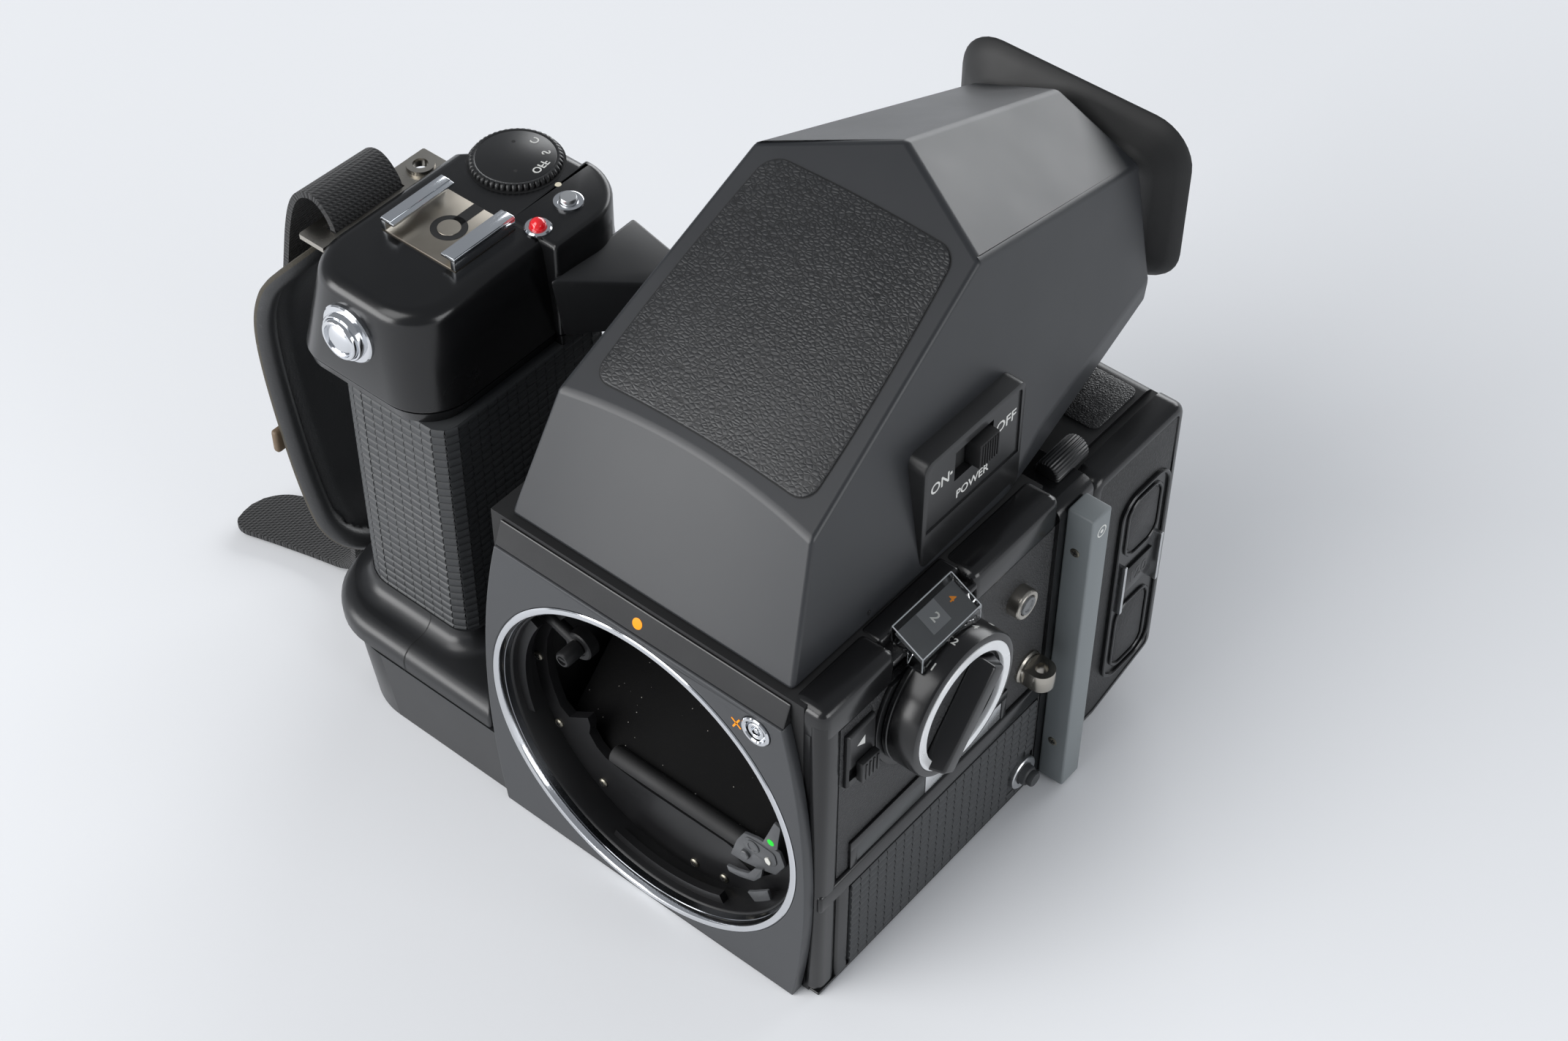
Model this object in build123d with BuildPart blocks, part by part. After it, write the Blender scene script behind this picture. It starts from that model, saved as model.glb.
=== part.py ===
from build123d import *
import os
from math import cos, radians, sin

os.makedirs("parts", exist_ok=True)

# Medium format film camera with prism finder, roll film back and motor grip.
# X is to the right seen from the front, Y goes back, Z is up, millimetres.
# The origin is the mouth of the tripod socket in the bottom of the body.
# A depth is measured backwards from the front plate's face.

# Fits
slip = 0.05
seat_gap = 0.1
swing_gap = 1.0
cloth_gap = 0.3
edge_break = 0.5

# Body
socket_setback = 45.0
core_front = 3.0
core_rear = 80.0
front_wall = 7.0
side_wall = 3.0
rear_wall = 2.0
floor_wall = 6.0
top_wall = 2.4
film_width = 56.0
film_height = 56.0
bush_radius = 5.4
tripod_thread_radius = 2.55

# Lens mount
ring_radius = 42.0
ring_overhang = 1.0
core_half = ring_radius - ring_overhang
ring_floor_gap = 0.4
ring_lip = 1.1
ring_wall = 5.0
ring_bore_radius = ring_radius - ring_wall
ring_back_step = 2.5
mount_z = ring_radius + ring_floor_gap
ring_face_radius = ring_radius - ring_lip
ring_back_radius = ring_radius - ring_back_step
body_top_margin = 8.0
body_height = mount_z + ring_radius + body_top_margin
ring_proud = 0.3
ring_cone_depth = 3.3
ring_bore_end = 4.4
collar_seat_radius = ring_bore_radius + 0.6
collar_wall = 1.1
throat_face_depth = 9.0
throat_thickness = 1.0
throat_radius = ring_bore_radius - 3.4
lug_radius = ring_bore_radius - 1.6
lug_depth = 4.6
lug_thickness = 1.8
lug_starts = (30, 150, 250)
lug_span = 48
throat_sill = 31.0
throat_sill_left = -22.0
throat_sill_right = 24.0
throat_sill_step = 2.0
throat_slope_rise = 5.0
mount_screw_radius = 1.2
mount_screw_circle = ring_bore_radius - 2.0
mount_screw_height = 0.5
mount_screw_angles = (20, 62, 118, 169, 208, 234, 280, 294)
drive_pin_at = (-25.0, 56.0)
drive_pin_radius = 1.6
drive_hex_radius = 2.0
drive_hub_radius = 3.4
drive_arm_left = -32.0
drive_pin_reach = 5.0
lever_at = (24.0, 29.5)
lever_radius = 2.2
lever_length = 7.0
lever_width = 2.6
lever_thickness = 1.4
lever_pivot_radius = 1.0
shaft_end = 0.5

# Front plate
plate_bottom_half = core_half + 0.6
plate_bow = 2.3
plate_middle_half = ring_radius + plate_bow
plate_top_half = core_half - 3.0
plate_top_margin = 1.4
plate_top = mount_z + ring_radius + plate_top_margin
pc_socket_at = (31.6, 81.0)
pc_socket_radius = 3.5
pc_socket_wall = 1.0
pc_pin_radius = 1.6
pc_pin_setback = 0.2
bar_setback = 0.4
bar_thickness = 0.4
bar_top_drop = 1.0

# Mirror
hinge_setback = 6.0
hinge_drop = 7.4
hinge_depth = core_rear - hinge_setback
hinge_z = body_height - hinge_drop
hinge_pin_radius = 1.2
hinge_barrel_radius = 2.2
hinge_end_wall = 1.0
mirror_reach = 62.5
mirror_half_width = core_half - 9.0
mirror_start = 4.0
mirror_face_drop = 1.0
mirror_glass_thickness = 2.0
mirror_plate_thickness = 1.5
mirror_rest_angle = 45.0
baffle_thickness = 1.5
baffle_half_width = core_half - 8.0

# Focusing screen
screen_half_width = core_half - 9.5
screen_front = 13.0
screen_rear = 71.5
screen_thickness = 1.5
screen_ledge = 1.2

# Right side of the body
side_plate_thickness = 2.5
side_plate_drop = 2.0
leather_thickness = 1.5
rail_height = 5.0
rail_depth = 6.5
rail_radius = 2.0
top_rail_drop = 9.4
top_rail_bottom = body_height - top_rail_drop
leather_bottom = 34.8
rubber_front = 13.4
rubber_rear_border = 0.8
rubber_rear = core_rear - rubber_rear_border
rubber_bottom = 1.0
rubber_top = 29.2
rubber_thickness = 3.0
release_socket_at = (core_rear - 5.2, 8.2)
release_socket_radius = 4.25
release_socket_bore = 2.6
release_socket_proud = 0.7
strap_lug_at = (core_rear - 5.6, 43.8)
strap_lug_base_radius = 3.6
strap_lug_base_height = 1.4
strap_lug_eye_radius = 3.1
strap_lug_eye_reach = 4.0
strap_lug_hole_radius = 1.5
strap_lug_half_height = 2.3
housing_front = 10.6
housing_rear = 19.4
housing_drop = 12.4
housing_length = 16.0
housing_top = body_height - housing_drop
housing_bottom = housing_top - housing_length
housing_height = 1.3
slider_depth = 13.0
slider_length = 5.6
slider_inset = 1.2
slider_width = 5.8
slider_bottom = housing_bottom + slider_inset
slider_top = slider_bottom + slider_width
slider_proud = 1.8
slider_foot = 1.0
slider_foot_inset = 1.2
slider_travel = 3.0
dial_drop = 21.4
side_button_at = (67.9, body_height - dial_drop)
collar_radius = 3.65
collar_height = 3.0
side_button_radius = 2.3
side_button_proud = 0.3
side_button_travel = 1.0

# Shutter speed dial
dial_at = (38.0, body_height - dial_drop)
dial_base_radius = 18.2
dial_base_height = 1.0
dial_radius = 16.8
dial_height = 8.2
dial_axle_radius = 3.0
dial_axle_length = 1.0
dial_recess_radius = 12.3
dial_recess_depth = 1.6
dial_ring_outer = 15.2
dial_ring_depth = 0.8
dial_ring_proud = 0.2
knob_half_length = 11.5
knob_pointer_length = 15.0
knob_half_width = 3.0
knob_reach = 3.2
knob_angle = 51.0
knob_corner = 1.5
magnifier_front = 28.4
magnifier_rear = 47.6
magnifier_inner_x = core_half + 0.9
magnifier_outer_x = core_half + 9.0
magnifier_rise = 2.2
magnifier_slope = 4.6
magnifier_wall = 4.0
magnifier_inner_top = body_height + magnifier_rise
magnifier_outer_top = magnifier_inner_top - magnifier_slope
magnifier_outer_bottom = magnifier_outer_top - magnifier_wall

# Prism finder
finder_stock = ((-60.0, 60.0), (0.0, 150.0), (80.0, 180.0))
finder_front_foot = (4.5, body_height)
finder_brow = (15.6, body_height + 29.8)
finder_ridge_front = (83.2, body_height + 66.6)
finder_ridge_rear = (136.5, body_height + 47.6)
finder_foot_half = core_half - 4.1
finder_brow_half = core_half - 8.8
finder_waist_depth = 84.3
finder_waist_z = body_height + 9.6
finder_waist_half = core_half - 5.0
finder_rear_top = (21.5, body_height + 38.7)
finder_rear_side = (27.4, body_height + 10.2)
finder_rear_bottom = (26.9, body_height + 4.0)
finder_belly_depth = 86.0
finder_wall = 2.5
prism_gap = 0.8
prism_to_eyepiece = 12.0
finder_panel_thickness = 0.8
finder_panel_start = 5.4
finder_panel_length = 56.2
finder_panel_bottom_half = 27.1
finder_panel_top_half = 23.0
finder_panel_radius = 4.0
eyepiece_z = body_height + 23.6
eyepiece_half_width = 16.0
eyepiece_half_height = 10.5
eyepiece_lens_thickness = 3.0
eyecup_length = 7.5
eyecup_half_width = 30.0
eyecup_top = body_height + 46.3
eyecup_bottom = body_height + 3.6
eyecup_corner = 10.0
eyecup_wall = 2.0
eyecup_neck_half_width = 21.5
eyecup_neck_half_height = 14.0

# Power switch on the finder
power_box_face = core_half - 4.0
power_box_front = 44.0
power_box_rear = 77.0
power_box_bottom = body_height + 0.6
power_box_top = body_height + 30.2
power_box_width = 12.4
power_box_radius = 3.0
switch_slot_rear = 66.6
switch_slot_bottom = body_height + 18.4
switch_slot_top = body_height + 26.2
switch_slot_depth = 2.4
switch_length = 6.8
switch_height = 4.2
switch_travel = 5.6

# Film back
back_half = core_half + 5.0
back_frame_length = 12.0
back_frame_drop = 4.4
back_frame_rear = core_rear + back_frame_length
back_frame_height = body_height - back_frame_drop
back_frame_radius = 3.0
door_length = 35.0
back_depth = back_frame_rear + door_length
door_drop = 3.0
door_height = back_frame_height - door_drop
door_wall = 3.0
door_front_gap = 0.1
door_hinge_z = 1.6
door_hinge_gap = 0.2
door_knuckle_radius = 1.6
door_pin_radius = 0.8
door_knuckle_half = 12.0
door_bevel_rise = 6.0
door_bevel_run = 23.5
door_edge_radius = 4.0
cap_inner = back_half - 6.0
cap_drop = 2.0
cap_height = back_frame_height - cap_drop
cap_radius = 5.0
door_groove_width = 2.4
door_groove_depth = 1.2
bezel_rear_border = 4.0
bezel_length = 18.7
bezel_rear = back_depth - bezel_rear_border
bezel_front = bezel_rear - bezel_length
bezel_bottom = 11.0
bezel_top_drop = 17.3
bezel_top = back_frame_height - bezel_top_drop
bezel_radius = 6.0
bezel_width = 1.8
bezel_proud = 1.2
bezel_bar_bottom = 38.8
bezel_bar_top = 46.8
tab_width = 0.9
tab_bottom = 35.0
tab_top = 50.0
tab_proud = 1.0
tab_travel = 1.0
latch_left = back_half - 11.4
latch_right = back_half - 5.2
latch_setback = 6.0
latch_length = 11.7
latch_front = core_rear + latch_setback
latch_rear = latch_front + latch_length
latch_height = 3.6
latch_rib_pitch = 1.0
latch_rib_depth = 0.8
latch_rib_margin = 1.0
insert_plate_inner = 33.6
insert_plate_thickness = 1.5
insert_rear_gap = 15.0
insert_depth = back_depth - insert_rear_gap
film_channel = 1.2
insert_bottom = 9.0
insert_top = 76.0
pressure_plate_thickness = 1.2
spool_setback = 4.0
spool_depth = insert_depth - spool_setback
spool_half_length = 33.2
spool_flange_radius = 12.6
spool_flange_thickness = 1.0
spool_core_radius = 6.0
film_roll_radius = 11.0
spool_bore_radius = 3.0
spool_pin_length = 5.0
lower_spool_z = 21.0
upper_spool_z = 64.0
slide_setback = 4.0
slide_front = core_rear + slide_setback
slide_blade_thickness = 1.0
slide_blade_bottom = 12.0
slide_blade_top = 73.0
slide_blade_inner = -30.0
slide_handle_overlap = 1.6
slide_handle_length = 6.6
slide_handle_front = slide_front - slide_handle_overlap
slide_handle_rear = slide_handle_front + slide_handle_length
slide_handle_proud = 6.7
slide_handle_bottom = 0.6
slide_handle_drop = 1.0
slide_handle_top = back_frame_height - slide_handle_drop

# Motor grip
grip_left = -98.0
grip_base_front = 0.4
grip_base_rear = 78.0
base_front_corner = 18.0
base_rear_corner = 10.0
base_inner_corner = 1.0
base_split = 20.5
base_top = 27.0
base_draft = 2.5
base_edge_radius = 1.5
column_left = -97.0
column_right = -60.9
column_front = 10.3
column_rear = 62.0
column_left_radius = 11.0
column_right_radius = 5.0
column_flare = 3.0
column_bottom = 30.0
head_bottom = 93.6
head_seam = 97.0
head_top = 122.0
head_left = -102.0
head_right = -60.6
head_front = 9.5
head_rear = 72.0
head_front_left_radius = 8.0
head_front_right_radius = 13.0
head_rear_radius = 15.0
head_notch = 16.0
head_notch_corner = 1.0
head_edge_radius = 3.0
head_lip_inset = 0.8
mode_dial_at = (-86.5, 61.4)
mode_dial_radius = 10.15
mode_dial_height = 4.0
mode_dial_proud = 1.5
mode_axle_radius = 2.5
mode_axle_length = 3.0
shoe_front = 27.4
shoe_rear = 45.3
shoe_centre_x = -82.05
shoe_half_width = 10.65
shoe_half_gap = 6.75
shoe_floor = 0.4
shoe_height = 3.5
shoe_lip_thickness = 1.0
shoe_rail_wall = 1.3
top_button_at = (-68.8, 58.6)
top_bezel_radius = 3.3
bezel_height = 0.8
top_button_radius = 1.9
top_button_proud = 1.0
top_button_length = 3.0
top_button_travel = 1.0
lamp_at = (-68.0, 48.4)
lamp_radius = 2.0
lamp_bezel_radius = 3.0
release_at = (-84.5, 111.0)
release_collar_radius = 7.0
release_collar_length = 2.5
release_button_radius = 4.8
release_button_proud = 2.0
release_button_length = 7.0
release_edge_radius = 1.5
release_travel = 1.5
web_top = 110.0
web_fall = 3.0
web_bottom = 94.2
web_reach = -46.5
web_front = 47.3
web_rear = 73.0
bracket_thickness = 1.2
upper_bracket_reach = 7.4
upper_bracket_bar = 2.2
upper_bracket_root = 1.4
upper_bracket_depth = (18.8, 56.0)
upper_bracket_z = 116.0
lower_bracket_depth = (20.0, 42.0)
lower_bracket_z = (8.0, 17.0)
eyelet_at = (-105.3, 51.0)
eyelet_radius = 3.2
eyelet_bore = 1.7
eyelet_height = 1.0

# Hand strap, seen from the front as X and Z: the middle of its stiff pad from
# top to bottom, then the webbing over the top bracket and its tail on the floor
pad_route = ((-108.5, 110.0), (-117.0, 99.0), (-121.0, 84.0), (-118.5, 60.0), (-112.5, 36.0), (-102.5, 21.0))
pad_half_thickness = 2.0
pad_front = 13.0
pad_rear = 57.0
pad_corner = 15.0
pad_stock = (-160.0, -60.0)
strap_depth = (24.0, 44.0)
strap_half_thickness = 0.8
strap_loop = ((-104.8, 112.0), (-105.4, 118.5), (-109.5, 122.6), (-114.5, 120.0), (-119.0, 110.5))
samples_per_point = 4
strap_leaves_top = 4
strap_leaves_bottom = 16
strap_tail = ((-113.5, 19.0), (-113.8, 7.5), (-119.0, 2.0), (-131.0, 1.3), (-154.0, 1.3))

side_face = core_half + side_plate_thickness
leather_face = side_face + leather_thickness
rail_face = core_half + rail_height
screen_z = body_height - screen_thickness
dial_top = leather_face + dial_base_height


def y_at(depth):
    return depth - socket_setback


def facing_front(depth):
    """A plane seen from the front: local X is X, local Y is Z, extrusion goes forwards."""
    return Plane.XZ.offset(socket_setback - depth)


def facing_right(x):
    """A plane seen from the right: local X is Y, local Y is Z, extrusion goes to +X."""
    return Plane.YZ.offset(x)


def level(z):
    return Plane.XY.offset(z)


def block(x, depth, z, mode=Mode.ADD):
    """A box between two X values, two depths and two heights."""
    with Locations((sum(x) / 2, y_at(sum(depth) / 2), sum(z) / 2)):
        Box(x[1] - x[0], depth[1] - depth[0], z[1] - z[0], mode=mode)


def panel(u, v, radius=0.0, mode=Mode.ADD):
    """A rectangle between two local X values and two local Y values."""
    with Locations((sum(u) / 2, sum(v) / 2)):
        if radius > 0:
            RectangleRounded(u[1] - u[0], v[1] - v[0], radius, mode=mode)
        else:
            Rectangle(u[1] - u[0], v[1] - v[0], mode=mode)


def side_panel(depth, z, radius=0.0, mode=Mode.ADD):
    """A rectangle on a plane facing right, given by depths and heights."""
    panel((y_at(depth[0]), y_at(depth[1])), z, radius, mode)


def rod_x(x, depth, z, radius, mode=Mode.ADD):
    """A cylinder along X between two X values."""
    with Locations((sum(x) / 2, y_at(depth), z)):
        Cylinder(radius, x[1] - x[0], rotation=(0, 90, 0), mode=mode)


def rod_y(x, depth, z, radius, mode=Mode.ADD):
    """A cylinder along Y between two depths."""
    with Locations((x, y_at(sum(depth) / 2), z)):
        Cylinder(radius, depth[1] - depth[0], rotation=(90, 0, 0), mode=mode)


def rod_z(x, depth, z, radius, mode=Mode.ADD):
    """A cylinder along Z between two heights."""
    with Locations((x, y_at(depth), sum(z) / 2)):
        Cylinder(radius, z[1] - z[0], mode=mode)


def save(piece, name):
    piece.part.label = name
    export_step(piece.part, f"parts/{name}.step")


# Die-cast body: a box around the mirror chamber, with a round mouth in front,
# a window for the focusing screen on top and the film window behind.
chamber_half = core_half - side_wall
chamber_front = core_front + front_wall
chamber_rear = core_rear - rear_wall
chamber_top = body_height - top_wall
with BuildPart() as body_shell:
    block((-core_half, core_half), (core_front, core_rear), (0, body_height))
    block((-chamber_half, chamber_half), (chamber_front, chamber_rear), (floor_wall, chamber_top),
          mode=Mode.SUBTRACT)
    rod_y(0, (core_front, chamber_front), mount_z, ring_back_radius + slip, mode=Mode.SUBTRACT)
    block((-film_width / 2, film_width / 2), (chamber_rear, core_rear),
          (mount_z - film_height / 2, mount_z + film_height / 2), mode=Mode.SUBTRACT)
    block((-screen_half_width - seat_gap, screen_half_width + seat_gap),
          (screen_front - seat_gap, screen_rear + seat_gap), (screen_z, body_height), mode=Mode.SUBTRACT)
    block((screen_ledge - screen_half_width, screen_half_width - screen_ledge),
          (screen_front + screen_ledge, screen_rear - screen_ledge), (chamber_top, screen_z),
          mode=Mode.SUBTRACT)
    rod_z(0, socket_setback, (0, floor_wall), bush_radius + slip, mode=Mode.SUBTRACT)
    rod_x((hinge_end_wall - core_half, core_half - hinge_end_wall), hinge_depth, hinge_z,
          hinge_pin_radius + slip, mode=Mode.SUBTRACT)
save(body_shell, "body_shell")

# Brass bush with the tripod thread.
with BuildPart() as tripod_bush:
    rod_z(0, socket_setback, (0, floor_wall), bush_radius)
    rod_z(0, socket_setback, (0, floor_wall), tripod_thread_radius, mode=Mode.SUBTRACT)
save(tripod_bush, "tripod_bush")

def plate_outline(grow=0.0, mode=Mode.ADD):
    """The front plate's face: straight top and bottom, sides that bow out."""
    foot, waist, brow = (half + grow for half in (plate_bottom_half, plate_middle_half, plate_top_half))
    with BuildLine() as outline:
        Line((-foot, 0), (foot, 0))
        ThreePointArc((foot, 0), (waist, mount_z), (brow, plate_top))
        Line((brow, plate_top), (-brow, plate_top))
        ThreePointArc((-brow, plate_top), (-waist, mount_z), (-foot, 0))
    make_face(outline.edges(), mode=mode)


# Front plate, bowed out around the lens mount.
with BuildPart() as front_plate:
    with BuildSketch(facing_front(core_front)):
        plate_outline()
        with Locations((0, mount_z)):
            Circle(ring_radius + slip, mode=Mode.SUBTRACT)
        with Locations(pc_socket_at):
            Circle(pc_socket_radius + slip, mode=Mode.SUBTRACT)
    extrude(amount=core_front)
save(front_plate, "front_plate")

# Flash socket in the front plate: a nickel sleeve around a small pin.
with BuildPart() as pc_socket:
    rod_y(pc_socket_at[0], (-ring_proud, core_front), pc_socket_at[1], pc_socket_radius)
    rod_y(pc_socket_at[0], (-ring_proud, core_front - pc_socket_wall), pc_socket_at[1],
          pc_socket_radius - pc_socket_wall, mode=Mode.SUBTRACT)
    rod_y(pc_socket_at[0], (pc_pin_setback, core_front - pc_socket_wall), pc_socket_at[1], pc_pin_radius)
save(pc_socket, "pc_socket")

# Slanting bar above the front plate that closes the body to the finder.
bar_top = body_height - bar_top_drop
with BuildPart() as top_front_bar:
    with BuildSketch(facing_right(-plate_top_half)):
        with BuildLine():
            Polyline((y_at(bar_setback), plate_top), (y_at(core_front), plate_top),
                     (y_at(core_front), bar_top), (y_at(core_front - bar_thickness), bar_top),
                     close=True)
        make_face()
    extrude(amount=2 * plate_top_half)
save(top_front_bar, "top_front_bar")

# Lens mount ring: narrow flat face, a polished cone into the bore, and a wider
# seat for the collar behind it.
lens_axis = Axis((0, 0, mount_z), (0, 1, 0))
with BuildPart() as lens_mount_ring:
    with BuildSketch(level(mount_z)):
        with BuildLine():
            Polyline(
                (ring_radius, y_at(-ring_proud)), (ring_radius, y_at(core_front)),
                (ring_back_radius, y_at(core_front)), (ring_back_radius, y_at(chamber_front)),
                (collar_seat_radius, y_at(chamber_front)), (collar_seat_radius, y_at(ring_bore_end)),
                (ring_bore_radius, y_at(ring_bore_end)), (ring_bore_radius, y_at(ring_cone_depth)),
                (ring_face_radius, y_at(-ring_proud)), close=True)
        make_face()
    revolve(axis=lens_axis)
save(lens_mount_ring, "lens_mount_ring")

# Throat plate at the bottom of the mount, with a thin black collar that carries
# the three bayonet lugs, and a window above a straight sill.
collar_outer = collar_seat_radius - slip
throat_rear = throat_face_depth + throat_thickness
lever_x, lever_z = lever_at
drive_x, drive_z = drive_pin_at
with BuildPart() as throat_plate:
    rod_y(0, (lug_depth, throat_rear), mount_z, collar_outer)
    rod_y(0, (lug_depth, throat_face_depth), mount_z, collar_outer - collar_wall, mode=Mode.SUBTRACT)
    with BuildSketch(facing_front(throat_rear)):
        with Locations((0, mount_z)):
            Circle(throat_radius)
        with BuildLine():
            Polyline((-throat_radius, 0), (throat_radius, 0),
                     (throat_radius, throat_sill - throat_sill_step),
                     (throat_sill_right, throat_sill), (throat_sill_left, throat_sill),
                     (-throat_radius, mount_z + throat_slope_rise), close=True)
        make_face(mode=Mode.SUBTRACT)
    extrude(amount=throat_thickness, mode=Mode.SUBTRACT)
    with BuildSketch(facing_front(lug_depth)):
        for start in lug_starts:
            with BuildLine():
                outer = CenterArc((0, mount_z), collar_outer - collar_wall / 2, start, lug_span)
                inner = CenterArc((0, mount_z), lug_radius, start, lug_span)
                Line(outer @ 0, inner @ 0)
                Line(outer @ 1, inner @ 1)
            make_face()
    extrude(amount=-lug_thickness)
    rod_y(drive_x, (throat_face_depth, throat_rear), drive_z, drive_hub_radius)
    block((drive_arm_left, drive_x), (throat_face_depth, throat_rear),
          (drive_z - drive_hub_radius, drive_z + drive_hub_radius))
    rod_y(drive_x, (throat_face_depth, throat_rear), drive_z, drive_pin_radius + slip,
          mode=Mode.SUBTRACT)
    rod_y(lever_x, (throat_face_depth, throat_rear), lever_z, lever_pivot_radius + slip,
          mode=Mode.SUBTRACT)
save(throat_plate, "throat_plate")

# Round heads of the screws that hold the throat plate.
with BuildPart() as mount_screws:
    for angle in mount_screw_angles:
        rod_y(mount_screw_circle * cos(radians(angle)),
              (throat_face_depth - mount_screw_height, throat_face_depth),
              mount_z + mount_screw_circle * sin(radians(angle)), mount_screw_radius)
save(mount_screws, "mount_screws")

# Turning pin that cocks the shutter of the lens: a hexagon in front of the
# throat plate and a shaft through it.
with BuildPart() as drive_pin:
    with BuildSketch(facing_front(throat_face_depth - slip)):
        with Locations(drive_pin_at):
            RegularPolygon(drive_hex_radius, 6)
    extrude(amount=throat_face_depth - drive_pin_reach)
    rod_y(drive_x, (throat_face_depth - slip, throat_rear + shaft_end), drive_z, drive_pin_radius)
save(drive_pin, "drive_pin")

# Small lever on the sill that reads the lens, turning on its own stud.
with BuildPart() as signal_lever:
    with BuildSketch(facing_front(throat_face_depth - slip)):
        with Locations(lever_at):
            Circle(lever_radius)
            with Locations((-lever_length / 2, 0)):
                Rectangle(lever_length, lever_width)
    extrude(amount=lever_thickness)
    rod_y(lever_x, (throat_face_depth - slip, throat_rear + shaft_end), lever_z, lever_pivot_radius)
save(signal_lever, "signal_lever")

# Mirror: a plate on a hinge barrel behind the screen, the glass on its upper
# side. At rest the glass leans 45 degrees and looks forwards and up.
slope = radians(mirror_rest_angle)
mirror_seat = Plane(origin=(0, y_at(hinge_depth), hinge_z), x_dir=(1, 0, 0),
                    z_dir=(0, -sin(slope), cos(slope)))
plate_z = -mirror_face_drop - mirror_glass_thickness
with BuildPart() as mirror_glass:
    with BuildSketch(mirror_seat.offset(plate_z)):
        panel((-mirror_half_width, mirror_half_width), (-mirror_reach, -mirror_start))
    extrude(amount=mirror_glass_thickness)
save(mirror_glass, "mirror_glass")

with BuildPart() as mirror_holder:
    with BuildSketch(mirror_seat.offset(plate_z)):
        panel((-mirror_half_width, mirror_half_width), (-mirror_reach, 0))
    extrude(amount=-mirror_plate_thickness)
    with BuildSketch(mirror_seat.offset(plate_z)):
        panel((-mirror_half_width, mirror_half_width), (seat_gap - mirror_start, 0))
    extrude(amount=mirror_glass_thickness)
    rod_x((-mirror_half_width, mirror_half_width), hinge_depth, hinge_z, hinge_barrel_radius)
    rod_x((-mirror_half_width, mirror_half_width), hinge_depth, hinge_z, hinge_pin_radius + slip,
          mode=Mode.SUBTRACT)
save(mirror_holder, "mirror_holder")

with BuildPart() as mirror_pin:
    pin_half = core_half - hinge_end_wall - slip
    rod_x((-pin_half, pin_half), hinge_depth, hinge_z, hinge_pin_radius)
save(mirror_pin, "mirror_pin")

# Flocked baffle that carries the mirror's slope on down to the throat plate.
face_depth = hinge_depth + mirror_face_drop * sin(slope)
face_z = hinge_z - mirror_face_drop * cos(slope)
baffle_start = mirror_reach + swing_gap
baffle_drop = baffle_thickness / cos(slope)
start_depth = face_depth - baffle_start * cos(slope)
start_z = face_z - baffle_start * sin(slope)
foot_z = start_z - (start_depth - throat_rear) * sin(slope) / cos(slope)
with BuildPart() as lower_baffle:
    with BuildSketch(facing_right(-baffle_half_width)):
        with BuildLine():
            Polyline((y_at(start_depth), start_z), (y_at(throat_rear), foot_z),
                     (y_at(throat_rear), foot_z - baffle_drop), (y_at(start_depth), start_z - baffle_drop),
                     close=True)
        make_face()
    extrude(amount=2 * baffle_half_width)
save(lower_baffle, "lower_baffle")

# Ground glass focusing screen, let into the top of the body.
with BuildPart() as focusing_screen:
    block((-screen_half_width, screen_half_width), (screen_front, screen_rear), (screen_z, body_height))
save(focusing_screen, "focusing_screen")

# Right side plate with a raised gloss rail down its front and along its top,
# and a frame of the same height around the rubber panel.
side_plate_top = body_height - side_plate_drop
with BuildPart() as side_frame:
    block((core_half, side_face), (core_front, core_rear), (0, side_plate_top))
    block((core_half, rail_face), (core_front, core_front + rail_depth), (0, side_plate_top))
    block((core_half, rail_face), (core_front, core_rear), (top_rail_bottom, side_plate_top))
    block((core_half, rail_face), (core_front, core_rear), (0, leather_bottom))
    block((side_face, rail_face), (rubber_front, rubber_rear), (rubber_bottom, rubber_top),
          mode=Mode.SUBTRACT)
    fillet(edges().filter_by(Axis.Z).group_by(Axis.X)[-1].sort_by(Axis.Y)[0], rail_radius)
    rod_x((leather_face, rail_face + 1), dial_at[0], dial_at[1], dial_radius + seat_gap, mode=Mode.SUBTRACT)
save(side_frame, "side_frame")

# Leather on the side plate, between the rails and the rubber panel's frame.
with BuildPart() as side_leather:
    with BuildSketch(facing_right(side_face)):
        side_panel((core_front + rail_depth, core_rear), (leather_bottom, top_rail_bottom))
    extrude(amount=leather_thickness)
save(side_leather, "side_leather")

# Rubber panel below, with the hole of the cable release socket.
with BuildPart() as rubber_panel:
    with BuildSketch(facing_right(side_face)):
        side_panel((rubber_front, rubber_rear), (rubber_bottom, rubber_top))
        with Locations((y_at(release_socket_at[0]), release_socket_at[1])):
            Circle(release_socket_radius + slip, mode=Mode.SUBTRACT)
    extrude(amount=rubber_thickness)
save(rubber_panel, "rubber_panel")

with BuildPart() as release_socket:
    with BuildSketch(facing_right(side_face)):
        with Locations((y_at(release_socket_at[0]), release_socket_at[1])):
            Circle(release_socket_radius)
            Circle(release_socket_bore, mode=Mode.SUBTRACT)
    extrude(amount=rubber_thickness + release_socket_proud)
save(release_socket, "release_socket")

# Strap lug: a round foot and an upright eye.
with BuildPart() as strap_lug:
    lug_depth_at, lug_z = strap_lug_at
    rod_x((leather_face, leather_face + strap_lug_base_height), lug_depth_at, lug_z, strap_lug_base_radius)
    block((leather_face, leather_face + strap_lug_eye_reach),
          (lug_depth_at - strap_lug_eye_radius, lug_depth_at + strap_lug_eye_radius),
          (lug_z - strap_lug_half_height, lug_z + strap_lug_half_height))
    rod_z(leather_face + strap_lug_eye_reach, lug_depth_at,
          (lug_z - strap_lug_half_height, lug_z + strap_lug_half_height), strap_lug_eye_radius)
    rod_z(leather_face + strap_lug_eye_reach, lug_depth_at,
          (lug_z - strap_lug_half_height, lug_z + strap_lug_half_height), strap_lug_hole_radius,
          mode=Mode.SUBTRACT)
save(strap_lug, "strap_lug")

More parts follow.
